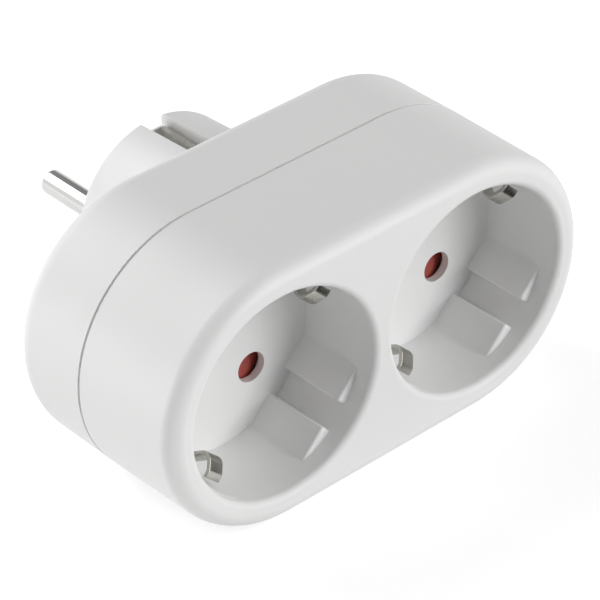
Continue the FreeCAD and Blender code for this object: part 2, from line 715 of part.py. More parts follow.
def pin_contact(name, x, z):
    """Sprung fork behind a pin hole: a base on the busbar and two leaves that pinch and flare."""
    body = new_body(name, x=x, z=z)
    section = sketch_on(body, "contact_section", role="YZ_Plane")
    seat = f"(-{CONTACT_SEAT})"
    corners = [
        (seat, "0"),
        (seat, of("contact_base")),
        (f"({seat} - Sizes.contact_reach * 0.7)", of("contact_pinch")),
        (f"({seat} - Sizes.contact_reach)", of("contact_mouth")),
    ]
    folds = draw_strip(section, "leaf", corners[::-1], of("contact_thickness"))
    leaf = pad(body, "leaf", section, of("contact_width"), Midplane=True)
    rounded = fold_strip(body, "leaf_fold", folds, of("contact_bend"), of("contact_thickness"))
    mirror = origin_plane(body, "XY_Plane")
    repeat(body, "Mirrored", "leaves", [leaf, *rounded], MirrorPlane=mirror)
    hole = sketch_on(body, "rivet_circle", height=f"({CONTACT_SEAT} + Sizes.contact_thickness)")
    draw_circle(hole, "rivet", ("0", "0"), of("rivet_radius + rivet_gap"))
    pocket(body, "rivet_hole", hole, of("contact_thickness * 3"))
    return body


def busbar(name, turn):
    """Flat bar that joins a pin hole's contact in each socket to one plug pin. The two bars are
    the same, one turned half round."""
    body = new_body(name, turn=turn)
    outline = sketch_on(body, "busbar_outline", height=BUSBAR_BACK)
    low = f"({TURN_Z} - Sizes.busbar_width / 2)"
    high = f"({TURN_Z} + Sizes.busbar_width / 2)"
    left = f"(-{HALF_PITCH} - {TURN_X} - Sizes.busbar_end)"
    right = f"({HALF_PITCH} - {TURN_X} + Sizes.busbar_end)"
    tab_left = f"(-{HALF_PIN} - Sizes.busbar_overhang)"
    tab_right = f"(-{HALF_PIN} + Sizes.busbar_overhang)"
    tab_low = of("-busbar_overhang")
    corners = [
        (left, low), (tab_left, low), (tab_left, tab_low), (tab_right, tab_low),
        (tab_right, low), (right, low), (right, high), (left, high),
    ]
    draw_polygon(outline, "bar", corners)
    pad(body, "bar", outline, of("busbar_thickness"))
    holes = sketch_on(body, "busbar_holes", height=BUSBAR_FRONT)
    draw_circle(holes, "far", (f"(-{HALF_PITCH} - {TURN_X})", TURN_Z), of("rivet_radius + rivet_gap"))
    draw_circle(holes, "near", (f"({HALF_PITCH} - {TURN_X})", TURN_Z), of("rivet_radius + rivet_gap"))
    draw_circle(holes, "pin", (f"(-{HALF_PIN})", "0"), of("neck_radius + rivet_gap"))
    pocket(body, "bar_holes", holes, of("busbar_thickness * 2"))
    return body


def contact_rivet(name, x, z):
    """Rivet that holds a contact on its busbar."""
    body = new_body(name, x=x, z=z)
    profile = sketch_on(body, "rivet_profile", role="XY_Plane")
    front = f"(-{CONTACT_SEAT})"
    back = f"(-{BUSBAR_BACK})"
    corners = [
        ("0", f"({front} - Sizes.rivet_head_height)"),
        (of("rivet_head"), f"({front} - Sizes.rivet_head_height)"),
        (of("rivet_head"), front),
        (of("rivet_radius"), front),
        (of("rivet_radius"), back),
        (of("rivet_head"), back),
        (of("rivet_head"), f"({back} + Sizes.rivet_head_height)"),
        ("0", f"({back} + Sizes.rivet_head_height)"),
    ]
    draw_polygon(profile, "rivet", corners)
    revolve(body, "rivet", profile)
    return body


# Earth parts

def earth_bracket(side, x):
    """Folded strip behind a socket: it crosses behind the floor, comes up through the wall's two
    slots and folds in to a sprung contact on each side. In the socket's own frame."""
    body = new_body(f"earth_bracket_{side}", x=x, turn=of("socket_turn"))
    section = sketch_on(body, "clip_section", role="YZ_Plane")
    front = f"-{FRONT}"
    corners = [
        (f"(-{BRACKET_FRONT})", "0"),
        (f"(-{BRACKET_FRONT})", of("clip_upright")),
        (f"({front} + Sizes.clip_tail_depth)", of("clip_upright")),
        (f"({front} + Sizes.clip_peak_depth)", of("clip_peak")),
        (f"({front} + Sizes.clip_end_depth)", of("clip_upright")),
    ]
    folds = draw_strip(section, "clip", corners[::-1], of("strip_thickness"))
    clip = pad(body, "clip", section, of("clip_width"), Midplane=True)
    rounded = fold_strip(body, "clip_fold", folds, of("clip_bend"), of("strip_thickness"))
    mirror = origin_plane(body, "XY_Plane")
    repeat(body, "Mirrored", "clips", [clip, *rounded], MirrorPlane=mirror)
    return body


def earth_link():
    """Flat bar that joins the two earth brackets behind the sockets."""
    body = new_body("earth_link")
    outline = sketch_on(body, "link_outline", height=LINK_BACK)
    reach = f"({HALF_PITCH} + Sizes.link_width / 2)"
    half = of("link_width / 2")
    draw_box(outline, "link", ("-" + reach, "-" + half), (reach, half))
    pad(body, "link", outline, of("strip_thickness"))
    hole = sketch_on(body, "link_hole", height=BRACKET_BACK)
    draw_circle(hole, "post", ("0", "0"), of("post_neck + rivet_gap"))
    pocket(body, "link_hole", hole, of("strip_thickness * 2"))
    return body


def plug_earth_bracket():
    """Folded strip of the plug: a strap across the block and an arm along each earth groove."""
    body = new_body("plug_earth_bracket")
    section = sketch_on(body, "arm_section", role="YZ_Plane")
    inner = of("groove_floor + seat_gap")
    corners = [(f"(-{STRAP_BACK})", "0"), (f"(-{STRAP_BACK})", inner), (of("-plug_strip_end"), inner)]
    folds = draw_strip(section, "arm", corners, of("strip_thickness"))
    arm = pad(body, "arm", section, of("plug_strip_width"), Midplane=True)
    rounded = fold_strip(body, "arm_fold", folds, of("clip_bend"), of("strip_thickness"))
    mirror = origin_plane(body, "XY_Plane")
    repeat(body, "Mirrored", "arms", [arm, *rounded], MirrorPlane=mirror)
    hole = sketch_on(body, "strap_hole", height=f"({STRAP_FRONT} + Sizes.strip_thickness)")
    draw_circle(hole, "post", ("0", "0"), of("post_neck + rivet_gap"))
    pocket(body, "strap_hole", hole, of("strip_thickness * 3"))
    return body


def earth_post():
    """Turned post, riveted at both ends, between the link and the plug's strap."""
    body = new_body("earth_post")
    profile = sketch_on(body, "post_profile", role="XY_Plane")
    corners = [
        ("0", f"(-{BRACKET_BACK} - Sizes.rivet_head_height)"),
        (of("post_radius"), f"(-{BRACKET_BACK} - Sizes.rivet_head_height)"),
        (of("post_radius"), f"(-{BRACKET_BACK})"),
        (of("post_neck"), f"(-{BRACKET_BACK})"),
        (of("post_neck"), f"(-{LINK_BACK})"),
        (of("post_radius"), f"(-{LINK_BACK})"),
        (of("post_radius"), f"(-{STRAP_FRONT})"),
        (of("post_neck"), f"(-{STRAP_FRONT})"),
        (of("post_neck"), f"(-{STRAP_BACK})"),
        (of("post_radius"), f"(-{STRAP_BACK})"),
        (of("post_radius"), f"(-{STRAP_BACK} + Sizes.rivet_head_height)"),
        ("0", f"(-{STRAP_BACK} + Sizes.rivet_head_height)"),
    ]
    draw_polygon(profile, "post", corners)
    revolve(body, "post", profile)
    return body


# Shutters and their springs

def shutter(side, x):
    """Turning shutter in the socket's own frame: two arms over the pin holes, each with a ramp
    that a pair of pins pushes aside, and a hub with a pocket for the spring."""
    body = new_body(f"shutter_{side}", x=x, turn=of("socket_turn"))
    arms = sketch_on(body, "arm_box", height=SHUTTER_BACK)
    half = of("shutter_half_width")
    arm = of("shutter_arm")
    draw_box(arms, "arms", ("-" + arm, "-" + half), (arm, half))
    pad(body, "arms", arms, of("shutter_thickness"))
    dress(body, "Fillet", "arm_rounding", of("arm_round"), lambda edge: runs_along(edge, "Y"))
    hub = sketch_on(body, "hub_circle", height=SHUTTER_BACK)
    draw_circle(hub, "hub", ("0", "0"), of("shutter_hub"))
    pad(body, "hub", hub, of("shutter_thickness"))
    face = f"(-{SHUTTER_FRONT})"
    low = f"({face} + Sizes.ramp_depth)"
    past = of("shutter_half_width * 1.05")
    length = of("shutter_arm")
    for name, sign, turned in (("near", "", True), ("far", "-", False)):
        ramp = sketch_on(body, f"{name}_ramp", role="YZ_Plane", height=sign + of("ramp_start"))
        corners = [(face, f"{sign}(-{half})"), (face, sign + past), (low, sign + past)]
        draw_polygon(ramp, "ramp", corners)
        pocket(body, f"{name}_ramp_cut", ramp, length, Reversed=turned)
    bore = sketch_on(body, "pivot_bore", height=SHUTTER_FRONT)
    draw_circle(bore, "bore", ("0", "0"), of("pivot_radius + pivot_gap"))
    pocket(body, "pivot_bore", bore, of("shutter_thickness"))
    pit = sketch_on(body, "coil_pit", height=SHUTTER_BACK)
    draw_circle(pit, "pit", ("0", "0"), of("coil_pocket"))
    pocket(body, "coil_pit", pit, of("coil_pocket_depth"), Reversed=True)
    hole = sketch_on(body, "tip_hole", height=SHUTTER_BACK)
    draw_circle(hole, "tip", (of("coil_radius"), "0"), of("tip_hole"))
    pocket(body, "tip_hole", hole, of("shutter_thickness"), Reversed=True)
    return body


def shutter_spring(side, x):
    """Torsion spring round the pivot: a coil in the hub's pocket whose front end is hooked into
    the hub and whose rear end is hooked into the carrier's plate."""
    body = new_body(f"shutter_spring_{side}", x=x, turn=of("socket_turn"))
    start = f"({SHUTTER_BACK} + Sizes.coil_pocket_depth - Sizes.wire_radius - Sizes.seat_gap)"
    end = f"({start} - Sizes.coil_turns * Sizes.coil_pitch)"
    wire = sketch_on(body, "wire_circle", role="XY_Plane")
    draw_circle(wire, "wire", (of("coil_radius"), f"(-{start})"), of("wire_radius"))
    coil = body.newObject("PartDesign::AdditiveHelix", "coil")
    coil.Profile = wire
    coil.ReferenceAxis = (wire, ["V_Axis"])
    coil.Mode = "pitch-turns-angle"
    coil.Growth = 0
    coil.Angle = 0
    coil.setExpression("Pitch", of("coil_pitch"))
    coil.setExpression("Turns", of("coil_turns"))
    doc.recompute()
    tip = of("spring_tip")
    front = sketch_on(body, "front_tip_circle", height=start)
    draw_circle(front, "tip", (of("coil_radius"), "0"), of("wire_radius"))
    pad(body, "front_tip", front, tip)
    rear = sketch_on(body, "rear_tip_circle", height=end)
    draw_circle(rear, "tip", (of("-coil_radius"), "0"), of("wire_radius"))
    pad(body, "rear_tip", rear, f"({end} - {PLATE_FRONT} + {tip})", Reversed=True)
    return body


# Contact carrier

def contact_carrier():
    """Moulded carrier behind the floors: a round tray over each shutter, joined by a bridge, with
    a tower round each contact."""
    body = new_body("contact_carrier")
    bridge = sketch_on(body, "bridge_box", height=PLATE_BACK)
    half = of("tray_bridge / 2")
    draw_box(bridge, "bridge", ("-" + HALF_PITCH, "-" + half), (HALF_PITCH, half))
    pad(body, "bridge", bridge, of("plate_thickness"))
    trays = sketch_on(body, "tray_circles", height=PLATE_BACK)
    hollows = sketch_on(body, "hollow_circles", height=f"({FLOOR_BACK} - Sizes.seat_gap)")
    for name, sign in (("left", "-"), ("right", "")):
        draw_circle(trays, name, (sign + HALF_PITCH, "0"), of("tray_radius"))
        draw_circle(hollows, name, (sign + HALF_PITCH, "0"), of("tray_radius - tray_wall"))
    pad(body, "trays", trays, f"({FLOOR_BACK} - Sizes.seat_gap - {PLATE_BACK})")
    pocket(body, "tray_hollows", hollows, f"({FLOOR_BACK} - Sizes.seat_gap - {PLATE_FRONT})")
    towers = sketch_on(body, "tower_boxes", height=PLATE_BACK)
    wells = sketch_on(body, "well_boxes", height=PLATE_BACK)
    guides = sketch_on(body, "guide_circles", height=PLATE_FRONT)
    inner_x = of("contact_width / 2 + tower_gap")
    inner_z = of("contact_mouth + contact_thickness + tower_gap")
    for name, (x, z) in contact_places().items():
        draw_circle(guides, name, (x, z), of("guide_hole_radius"))
        for sketch, wall in ((wells, "0"), (towers, "Sizes.tower_wall")):
            low = (f"({x} - {inner_x} - {wall})", f"({z} - {inner_z} - {wall})")
            draw_box(sketch, name, low, (f"({x} + {inner_x} + {wall})", f"({z} + {inner_z} + {wall})"))
    length = f"({PLATE_BACK} - {BUSBAR_FRONT} - Sizes.seat_gap)"
    pad(body, "towers", towers, length, Reversed=True)
    pocket(body, "wells", wells, length)
    pocket(body, "guide_holes", guides, of("plate_thickness"))
    pivots = sketch_on(body, "pivot_circles", height=PLATE_FRONT)
    bosses = sketch_on(body, "boss_circles", height=FLOOR_BACK)
    for name, sign in (("left", "-"), ("right", "")):
        draw_circle(pivots, name, (sign + HALF_PITCH, "0"), of("pivot_radius + pivot_gap"))
        draw_circle(bosses, name, (sign + SCREW_X, "0"), of("boss_radius + screw_gap"))
        tip_x = f"({sign}{HALF_PITCH} - Sizes.coil_radius * cos(Sizes.socket_turn * 1 deg))"
        tip_z = of("coil_radius * sin(socket_turn * 1 deg)")
        draw_circle(pivots, name + "_tip", (tip_x, tip_z), of("tip_hole"))
    pocket(body, "pivot_holes", pivots, of("plate_thickness"))
    pocket(body, "boss_holes", bosses, f"({FLOOR_BACK} - {PLATE_BACK})")
    return body


def contact_places():
    """Places of the four contacts, by name, from the turned pin holes of each socket."""
    places = {}
    for side, sign in (("left", "-"), ("right", "")):
        places[f"{side}_upper"] = (f"({sign}{HALF_PITCH} - {TURN_X})", TURN_Z)
        places[f"{side}_lower"] = (f"({sign}{HALF_PITCH} + {TURN_X})", f"(-{TURN_Z})")
    return places


# Housing screws

def housing_screw(side, x):
    """Screw that holds the two housings together, put in from behind. Its thread is left out."""
    body = new_body(f"housing_screw_{side}", x=x)
    profile = sketch_on(body, "screw_profile", role="XY_Plane")
    seat = f"(-{SCREW_SEAT})"
    tip = f"(-{BOSS_END} - Sizes.screw_engagement)"
    corners = [
        ("0", tip),
        (of("screw_radius / 2"), tip),
        (of("screw_radius"), f"({tip} + Sizes.screw_radius)"),
        (of("screw_radius"), seat),
        (of("screw_head"), seat),
        (of("screw_head"), f"({seat} + Sizes.screw_head_height)"),
        ("0", f"({seat} + Sizes.screw_head_height)"),
    ]
    draw_polygon(profile, "screw", corners)
    revolve(body, "screw", profile)
    top = f"({SCREW_SEAT} - Sizes.screw_head_height)"
    dress(body, "Fillet", "head_rounding", of("screw_head_height / 2"), lambda edge: lies_at(edge, top))
    slot = sketch_on(body, "slot_box", height=top)
    half = of("screw_slot / 2")
    reach = of("screw_head * 0.6")
    draw_box(slot, "slot", ("-" + reach, "-" + half), (reach, half))
    pocket(body, "slot", slot, of("screw_slot_depth"), Reversed=True)
    cross = sketch_on(body, "cross_box", height=top)
    draw_box(cross, "cross", ("-" + half, "-" + reach), (half, reach))
    pocket(body, "cross_slot", cross, of("screw_slot_depth"), Reversed=True)
    return body


def compound(label, pieces):
    """Like fasteners that share one node as separate solids."""
    group = doc.addObject("Part::Compound", label)
    group.Label = label
    group.Links = pieces
    doc.recompute()
    return group


def build():
    """Every sub-part of the adapter, in the order in which it goes together."""
    sides = (("left", "-"), ("right", ""))
    finished = [front_housing()]
    for side, sign in sides:
        finished.append(shutter(side, sign + HALF_PITCH))
        finished.append(shutter_spring(side, sign + HALF_PITCH))
    finished.append(contact_carrier())
    for side, sign in sides:
        finished.append(earth_bracket(side, sign + HALF_PITCH))
    finished += [earth_link(), earth_post(), plug_earth_bracket()]
    rivets = []
    for name, (x, z) in contact_places().items():
        finished.append(pin_contact(f"pin_contact_{name}", x, z))
        rivets.append(contact_rivet(f"rivet_{name}", x, z))
    finished.append(compound("contact_rivets", rivets))
    finished += [busbar("live_busbar", "0"), busbar("neutral_busbar", "180")]
    for side, sign in sides:
        finished.append(plug_pin(side, sign + HALF_PIN))
    finished.append(rear_housing())
    for side, sign in sides:
        finished.append(housing_screw(side, sign + SCREW_X))
    return finished


sub_parts = build()
for item in doc.Objects:
    faults = [state for state in item.State if state in ("Invalid", "Error")]
    if faults:
        raise RuntimeError(f"{item.Label}: {faults}")
os.makedirs("parts", exist_ok=True)
for sub_part in sub_parts:
    if sub_part.Shape.isNull() or not sub_part.Shape.isValid():
        raise RuntimeError(f"{sub_part.Label}: no valid shape")
for sub_part in sub_parts:
    sub_part.Shape.exportStep(f"parts/{sub_part.Label}.step")
    print(sub_part.Label, len(sub_part.Shape.Solids), round(sub_part.Shape.Volume, 2))
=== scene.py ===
import json
import logging
import math
from dataclasses import dataclass
from enum import Enum
from functools import partial
from typing import Any, Callable

import bmesh
import bpy
from mathutils import Matrix, Vector

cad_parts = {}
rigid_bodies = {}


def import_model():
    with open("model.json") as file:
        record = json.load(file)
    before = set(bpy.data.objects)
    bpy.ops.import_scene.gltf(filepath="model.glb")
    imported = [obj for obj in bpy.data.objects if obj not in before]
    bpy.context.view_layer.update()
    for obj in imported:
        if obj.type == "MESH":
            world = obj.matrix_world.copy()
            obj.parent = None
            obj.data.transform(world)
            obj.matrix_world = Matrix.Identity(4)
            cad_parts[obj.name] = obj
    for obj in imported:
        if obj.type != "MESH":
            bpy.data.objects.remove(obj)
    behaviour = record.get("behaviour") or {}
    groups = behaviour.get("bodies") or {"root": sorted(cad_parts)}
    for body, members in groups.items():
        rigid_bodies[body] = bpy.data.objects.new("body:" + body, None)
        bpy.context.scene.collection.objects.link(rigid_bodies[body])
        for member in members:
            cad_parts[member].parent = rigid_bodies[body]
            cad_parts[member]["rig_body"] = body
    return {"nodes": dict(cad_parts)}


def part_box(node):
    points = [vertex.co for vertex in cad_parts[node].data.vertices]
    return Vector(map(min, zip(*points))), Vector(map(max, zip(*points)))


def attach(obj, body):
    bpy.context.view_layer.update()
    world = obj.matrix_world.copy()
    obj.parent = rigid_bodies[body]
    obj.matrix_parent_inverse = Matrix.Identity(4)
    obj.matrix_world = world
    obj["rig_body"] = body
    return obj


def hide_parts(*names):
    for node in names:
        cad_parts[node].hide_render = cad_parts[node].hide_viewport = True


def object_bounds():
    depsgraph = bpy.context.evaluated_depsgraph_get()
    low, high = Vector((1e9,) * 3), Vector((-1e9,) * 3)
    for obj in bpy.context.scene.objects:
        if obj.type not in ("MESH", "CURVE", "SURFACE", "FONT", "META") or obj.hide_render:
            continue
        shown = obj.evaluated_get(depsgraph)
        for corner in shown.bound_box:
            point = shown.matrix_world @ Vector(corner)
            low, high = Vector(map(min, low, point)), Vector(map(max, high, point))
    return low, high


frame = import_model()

# A white double socket adapter in a plain white studio. Lengths are metres unless a name says mm.

LOG = logging.getLogger("adapter_scene")
CAD_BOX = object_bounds()
MM = 0.001
# Y of the block's front face, and X of a socket's axis without its sign
FRONT = -61.0 * MM
HALF_PITCH = 21.5 * MM
PIN_SPACING = 19 * MM
# How far each socket, and so each of its clips, is turned about Y from straight up
SOCKET_TURN = math.radians(45)
CLIP_TURNS = (SOCKET_TURN, SOCKET_TURN + math.pi)
# Points closer than this are one point, and a radius below it is on the axis
SAME_PLACE = 0.5e-6
# Angles between two faces, in degrees: still one flat face, a crisp edge and an edge to be rounded
FLAT_DEGREES = 0.1
CRISP_DEGREES = 30.0
SHARP_DEGREES = 32.0
# How finely round forms are split: the first three by steps, the others by sides
EDGE_SEGMENTS = 2
LATHE_STEPS = 96
COIL_STEPS = 64
WIRE_SIDES = 12
RIVET_SIDES = 32
FLOOR_SIDES = 64
# Most of a noise texture lies between these two values
NOISE_LOW = 0.3
NOISE_HIGH = 0.7


class Side(Enum):
    """The two halves of the adapter, by the sign of X."""

    LEFT = -1
    RIGHT = 1

    @property
    def word(self) -> str:
        """The side's name in the nodes' names."""
        return self.name.lower()


class Slot(Enum):
    """Material slots of the record."""

    HOUSING = "housing_white"
    SHUTTER = "shutter_red"
    CARRIER = "carrier_plastic"
    STRIP = "nickel_strip"
    PIN = "nickel_pin"
    SHEET = "brass_sheet"
    RIVET = "rivet_brass"
    SPRING = "spring_steel"
    SCREW = "screw_steel"


def linear(hex_colour: str) -> tuple[float, float, float, float]:
    """Turn an sRGB hex colour into linear light.

    Args:
        hex_colour: Six hex digits after a hash sign.

    Returns:
        Red, green, blue and an alpha of 1.
    """
    digits = hex_colour.lstrip("#")
    channels = [int(digits[start:start + 2], 16) / 255 for start in (0, 2, 4)]
    bright = [c / 12.92 if c <= 0.04045 else ((c + 0.055) / 1.055) ** 2.4 for c in channels]
    return (bright[0], bright[1], bright[2], 1.0)


def add_node(
    tree: bpy.types.NodeTree,
    kind: str,
    inputs: dict[str | int, Any] | None = None,
    **settings: Any,
) -> bpy.types.Node:
    """Add a node with its settings and links.

    Args:
        tree: The tree that gets the node.
        kind: The node's type name.
        inputs: For each input, by name or number, a value or the socket that feeds it.
        **settings: Properties of the node itself.

    Returns:
        The new node.
    """
    node = tree.nodes.new(kind)
    for name, setting in settings.items():
        setattr(node, name, setting)
    for name, given in (inputs or {}).items():
        if isinstance(given, bpy.types.NodeSocket):
            tree.links.new(given, node.inputs[name])
        else:
            node.inputs[name].default_value = given
    return node


def compute(
    tree: bpy.types.NodeTree,
    operation: str,
    first: float | bpy.types.NodeSocket,
    second: float | bpy.types.NodeSocket,
) -> bpy.types.NodeSocket:
    """Add a node that works one number out of two, and return the result's socket."""
    node = add_node(tree, "ShaderNodeMath", {0: first, 1: second}, operation=operation)
    return node.outputs[0]


def bare_material(name: str) -> tuple[bpy.types.Material, bpy.types.NodeTree]:
    """Start a material that has no nodes yet.

    Args:
        name: The material's name.

    Returns:
        The material and its node tree.
    """
    material = bpy.data.materials.new(name)
    material.use_nodes = True
    material.node_tree.nodes.clear()
    return material, material.node_tree


@dataclass(frozen=True)
class Surface:
    """What every finish has: a name, two tones, a roughness and a grain.

    The grain is a noise on the object's own coordinates. stretch above 1 draws it out along an
    axis, as rolling or drawing does.
    """

    name: str
    tone: str
    second_tone: str
    roughness: float
    roughness_swing: float
    grain_mm: float
    grain_height_mm: float
    patch_mm: float
    metallic: float = 0.0
    ior: float = 1.5
    stretch: tuple[float, float, float] = (1.0, 1.0, 1.0)

    def build(self) -> bpy.types.Material:
        """Make the node material.

        Returns:
            The material, with colour, roughness and bump from its nodes.
        """
        material, tree = bare_material(self.name)
        place = add_node(tree, "ShaderNodeTexCoord")
        drawn = add_node(
            tree, "ShaderNodeMapping", {"Vector": place.outputs["Object"], "Scale": self.stretch}
        )
        grain = add_node(
            tree,
            "ShaderNodeTexNoise",
            {"Vector": drawn.outputs[0], "Scale": 1 / (self.grain_mm * MM), "Detail": 3.0},
        )
        patches = add_node(
            tree,
            "ShaderNodeTexNoise",
            {"Vector": place.outputs["Object"], "Scale": 1 / (self.patch_mm * MM), "Detail": 4.0},
        )
        colour = add_node(
            tree,
            "ShaderNodeMix",
            {0: patches.outputs["Fac"], 6: linear(self.tone), 7: linear(self.second_tone)},
            data_type="RGBA",
        )
        rough = add_node(
            tree,
            "ShaderNodeMapRange",
            {
                "Value": patches.outputs["Fac"],
                "From Min": NOISE_LOW,
                "From Max": NOISE_HIGH,
                "To Min": self.roughness - self.roughness_swing,
                "To Max": self.roughness + self.roughness_swing,
            },
        )
        bump = add_node(
            tree,
            "ShaderNodeBump",
            {"Height": grain.outputs["Fac"], "Distance": self.grain_height_mm * MM, "Strength": 1.0},
        )
        shader = add_node(
            tree,
            "ShaderNodeBsdfPrincipled",
            {
                "Base Color": colour.outputs[2],
                "Roughness": rough.outputs[0],
                "Normal": bump.outputs[0],
                "Metallic": self.metallic,
                "IOR": self.ior,
            },
        )
        add_node(tree, "ShaderNodeOutputMaterial", {"Surface": shader.outputs[0]})
        return material


# Moulded ABS: an even white, matt from a finely eroded mould, with hardly any change of tone
HOUSING_ABS = Surface(
    "moulded_white_abs", "#E8E8E8", "#E6E6E5", roughness=0.5, roughness_swing=0.04,
    grain_mm=0.35, grain_height_mm=0.006, patch_mm=30, ior=1.53,
)
# Moulded polypropylene, dyed dark red: soft gloss with flow marks
SHUTTER_POLYPROPYLENE = Surface(
    "moulded_red_polypropylene", "#B4554D", "#9E463F", roughness=0.42, roughness_swing=0.06,
    grain_mm=0.6, grain_height_mm=0.01, patch_mm=4, ior=1.49, stretch=(1, 1, 3),
)
# Moulded polyamide in its natural colour: a milky grey white
CARRIER_POLYAMIDE = Surface(
    "moulded_natural_polyamide", "#D8D6CC", "#CFCCBF", roughness=0.5, roughness_swing=0.05,
    grain_mm=0.5, grain_height_mm=0.01, patch_mm=12, ior=1.53,
)
# Nickel plated strip: slightly warm grey metal with fine lines from rolling along its length
STRIP_NICKEL = Surface(
    "rolled_nickel_plated_strip", "#BEBCB5", "#AAA8A1", roughness=0.27, roughness_swing=0.06,
    grain_mm=0.25, grain_height_mm=0.004, patch_mm=5, metallic=1.0, stretch=(1, 0.08, 1),
)
# Nickel plated turned pin: bright, with the faint rings that turning leaves round it
PIN_NICKEL = Surface(
    "turned_nickel_plated_pin", "#D6D6D4", "#C8C8C6", roughness=0.17, roughness_swing=0.04,
    grain_mm=0.3, grain_height_mm=0.0025, patch_mm=6, metallic=1.0, stretch=(0.02, 1, 0.02),
)
# Rolled brass: yellow metal, dulled in patches by handling
SHEET_BRASS = Surface(
    "rolled_brass", "#D0AC62", "#B48E4A", roughness=0.32, roughness_swing=0.08,
    grain_mm=0.3, grain_height_mm=0.004, patch_mm=4, metallic=1.0, stretch=(0.1, 1, 1),
)
# Headed brass: brighter where the riveting tool pressed it
RIVET_BRASS = Surface(
    "headed_brass", "#D8B66E", "#C39E57", roughness=0.25, roughness_swing=0.05,
    grain_mm=0.4, grain_height_mm=0.003, patch_mm=2, metallic=1.0,
)
# Drawn spring wire: grey steel with a faint oily gloss
SPRING_WIRE = Surface(
    "drawn_spring_steel", "#A8A9AA", "#8E9092", roughness=0.3, roughness_swing=0.06,
    grain_mm=0.1, grain_height_mm=0.001, patch_mm=1.5, metallic=1.0,
)
# Zinc plated screw: pale metal, slightly blue, mottled by the bath
SCREW_ZINC = Surface(
    "zinc_plated_steel", "#C4C8CB", "#ADB2B8", roughness=0.33, roughness_swing=0.08,
    grain_mm=0.2, grain_height_mm=0.003, patch_mm=1.5, metallic=1.0,
)

FINISHES = {
    Slot.HOUSING: HOUSING_ABS,
    Slot.SHUTTER: SHUTTER_POLYPROPYLENE,
    Slot.CARRIER: CARRIER_POLYAMIDE,
    Slot.STRIP: STRIP_NICKEL,
    Slot.PIN: PIN_NICKEL,
    Slot.SHEET: SHEET_BRASS,
    Slot.RIVET: RIVET_BRASS,
    Slot.SPRING: SPRING_WIRE,
    Slot.SCREW: SCREW_ZINC,
}


class Workshop:
    """Makes meshes into pieces of the adapter: dressed, on their body and in their slot."""

    def __init__(self) -> None:
        """Build every finish once."""
        self.materials = {slot: finish.build() for slot, finish in FINISHES.items()}

    def dress_node(self, node: str, slot: Slot) -> None:
        """Give a CAD node that stays in view its finish.

        Args:
            node: The node's name.
            slot: The slot whose finish it takes.
        """
        slots = frame["nodes"][node].data.materials
        slots.clear()
        slots.append(self.materials[slot])
        LOG.info("%s dressed in %s", node, slot.value)

    def seat(self, piece: bpy.types.Object, body: str, slot: Slot, *nodes: str) -> None:
        """Dress a made piece, let it ride and hide the CAD nodes that it replaces.

        Args:
            piece: The finished piece.
            body: The body it moves with.
            slot: The slot whose finish it takes.
            *nodes: The CAD nodes that it replaces.
        """
        piece.data.materials.clear()
        piece.data.materials.append(self.materials[slot])
        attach(piece, body)
        if nodes:
            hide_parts(*nodes)
        LOG.info("%s: %d faces on %s", piece.name, len(piece.data.polygons), body)

    def soften(
        self,
        node: str,
        slot: Slot,
        width: float,
        reshape: Callable[[bmesh.types.BMesh], None] | None = None,
    ) -> None:
        """Replace a CAD node by a copy whose sharp edges are rounded.

        Args:
            node: The node to copy.
            slot: The slot whose finish the copy takes.
            width: How wide the rounding is.
            reshape: What adds the finer forms that the node lacks, before the rounding.
        """
        source = frame["nodes"][node]
        work = bmesh.new()
        work.from_mesh(source.data)
        bmesh.ops.remove_doubles(work, verts=work.verts, dist=SAME_PLACE)
        bmesh.ops.dissolve_limit(
            work, angle_limit=math.radians(FLAT_DEGREES), verts=work.verts, edges=work.edges
        )
        if reshape:
            reshape(work)
        piece = cast(node + "_skin", work)
        shade_smooth(piece)
        bevel = piece.modifiers.new("edge_rounding", "BEVEL")
        bevel.width = width
        bevel.segments = EDGE_SEGMENTS
        bevel.limit_method = "ANGLE"
        bevel.angle_limit = math.radians(SHARP_DEGREES)
        bevel.use_clamp_overlap = True
        bevel.miter_outer = "MITER_ARC"
        flats = piece.modifiers.new("flat_faces_lead_the_shading", "WEIGHTED_NORMAL")
        flats.mode = "FACE_AREA"
        flats.weight = 100
        flats.keep_sharp = True
        apply_modifiers(piece)
        self.seat(piece, source["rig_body"], slot, node)


def link(name: str, mesh: bpy.types.Mesh) -> bpy.types.Object:
    """Put a mesh into the scene.

    Args:
        name: Name of the new object.
        mesh: Its mesh, in the adapter's own frame.

    Returns:
        The object, at the origin.
    """
    piece = bpy.data.objects.new(name, mesh)
    bpy.context.scene.collection.objects.link(piece)
    return piece


def cast(name: str, work: bmesh.types.BMesh) -> bpy.types.Object:
    """Put a working mesh into the scene and free it.

    Args:
        name: Name of the new object and of its mesh.
        work: The working mesh, in the adapter's own frame.

    Returns:
        The object, at the origin.
    """
    mesh = bpy.data.meshes.new(name)
    work.to_mesh(mesh)
    work.free()
    return link(name, mesh)


def shade_smooth(piece: bpy.types.Object) -> None:
    """Shade every face of a piece smoothly."""
    piece.data.polygons.foreach_set("use_smooth", [True] * len(piece.data.polygons))


def apply_modifiers(piece: bpy.types.Object) -> None:
    """Turn a piece and its modifiers into one plain mesh.

    Args:
        piece: The piece whose modifiers are used up.
    """
    shape = piece.evaluated_get(bpy.context.evaluated_depsgraph_get())
    mesh = bpy.data.meshes.new_from_object(shape)
    piece.modifiers.clear()
    old = piece.data
    piece.data = mesh
    mesh.name = piece.name
    bpy.data.meshes.remove(old)


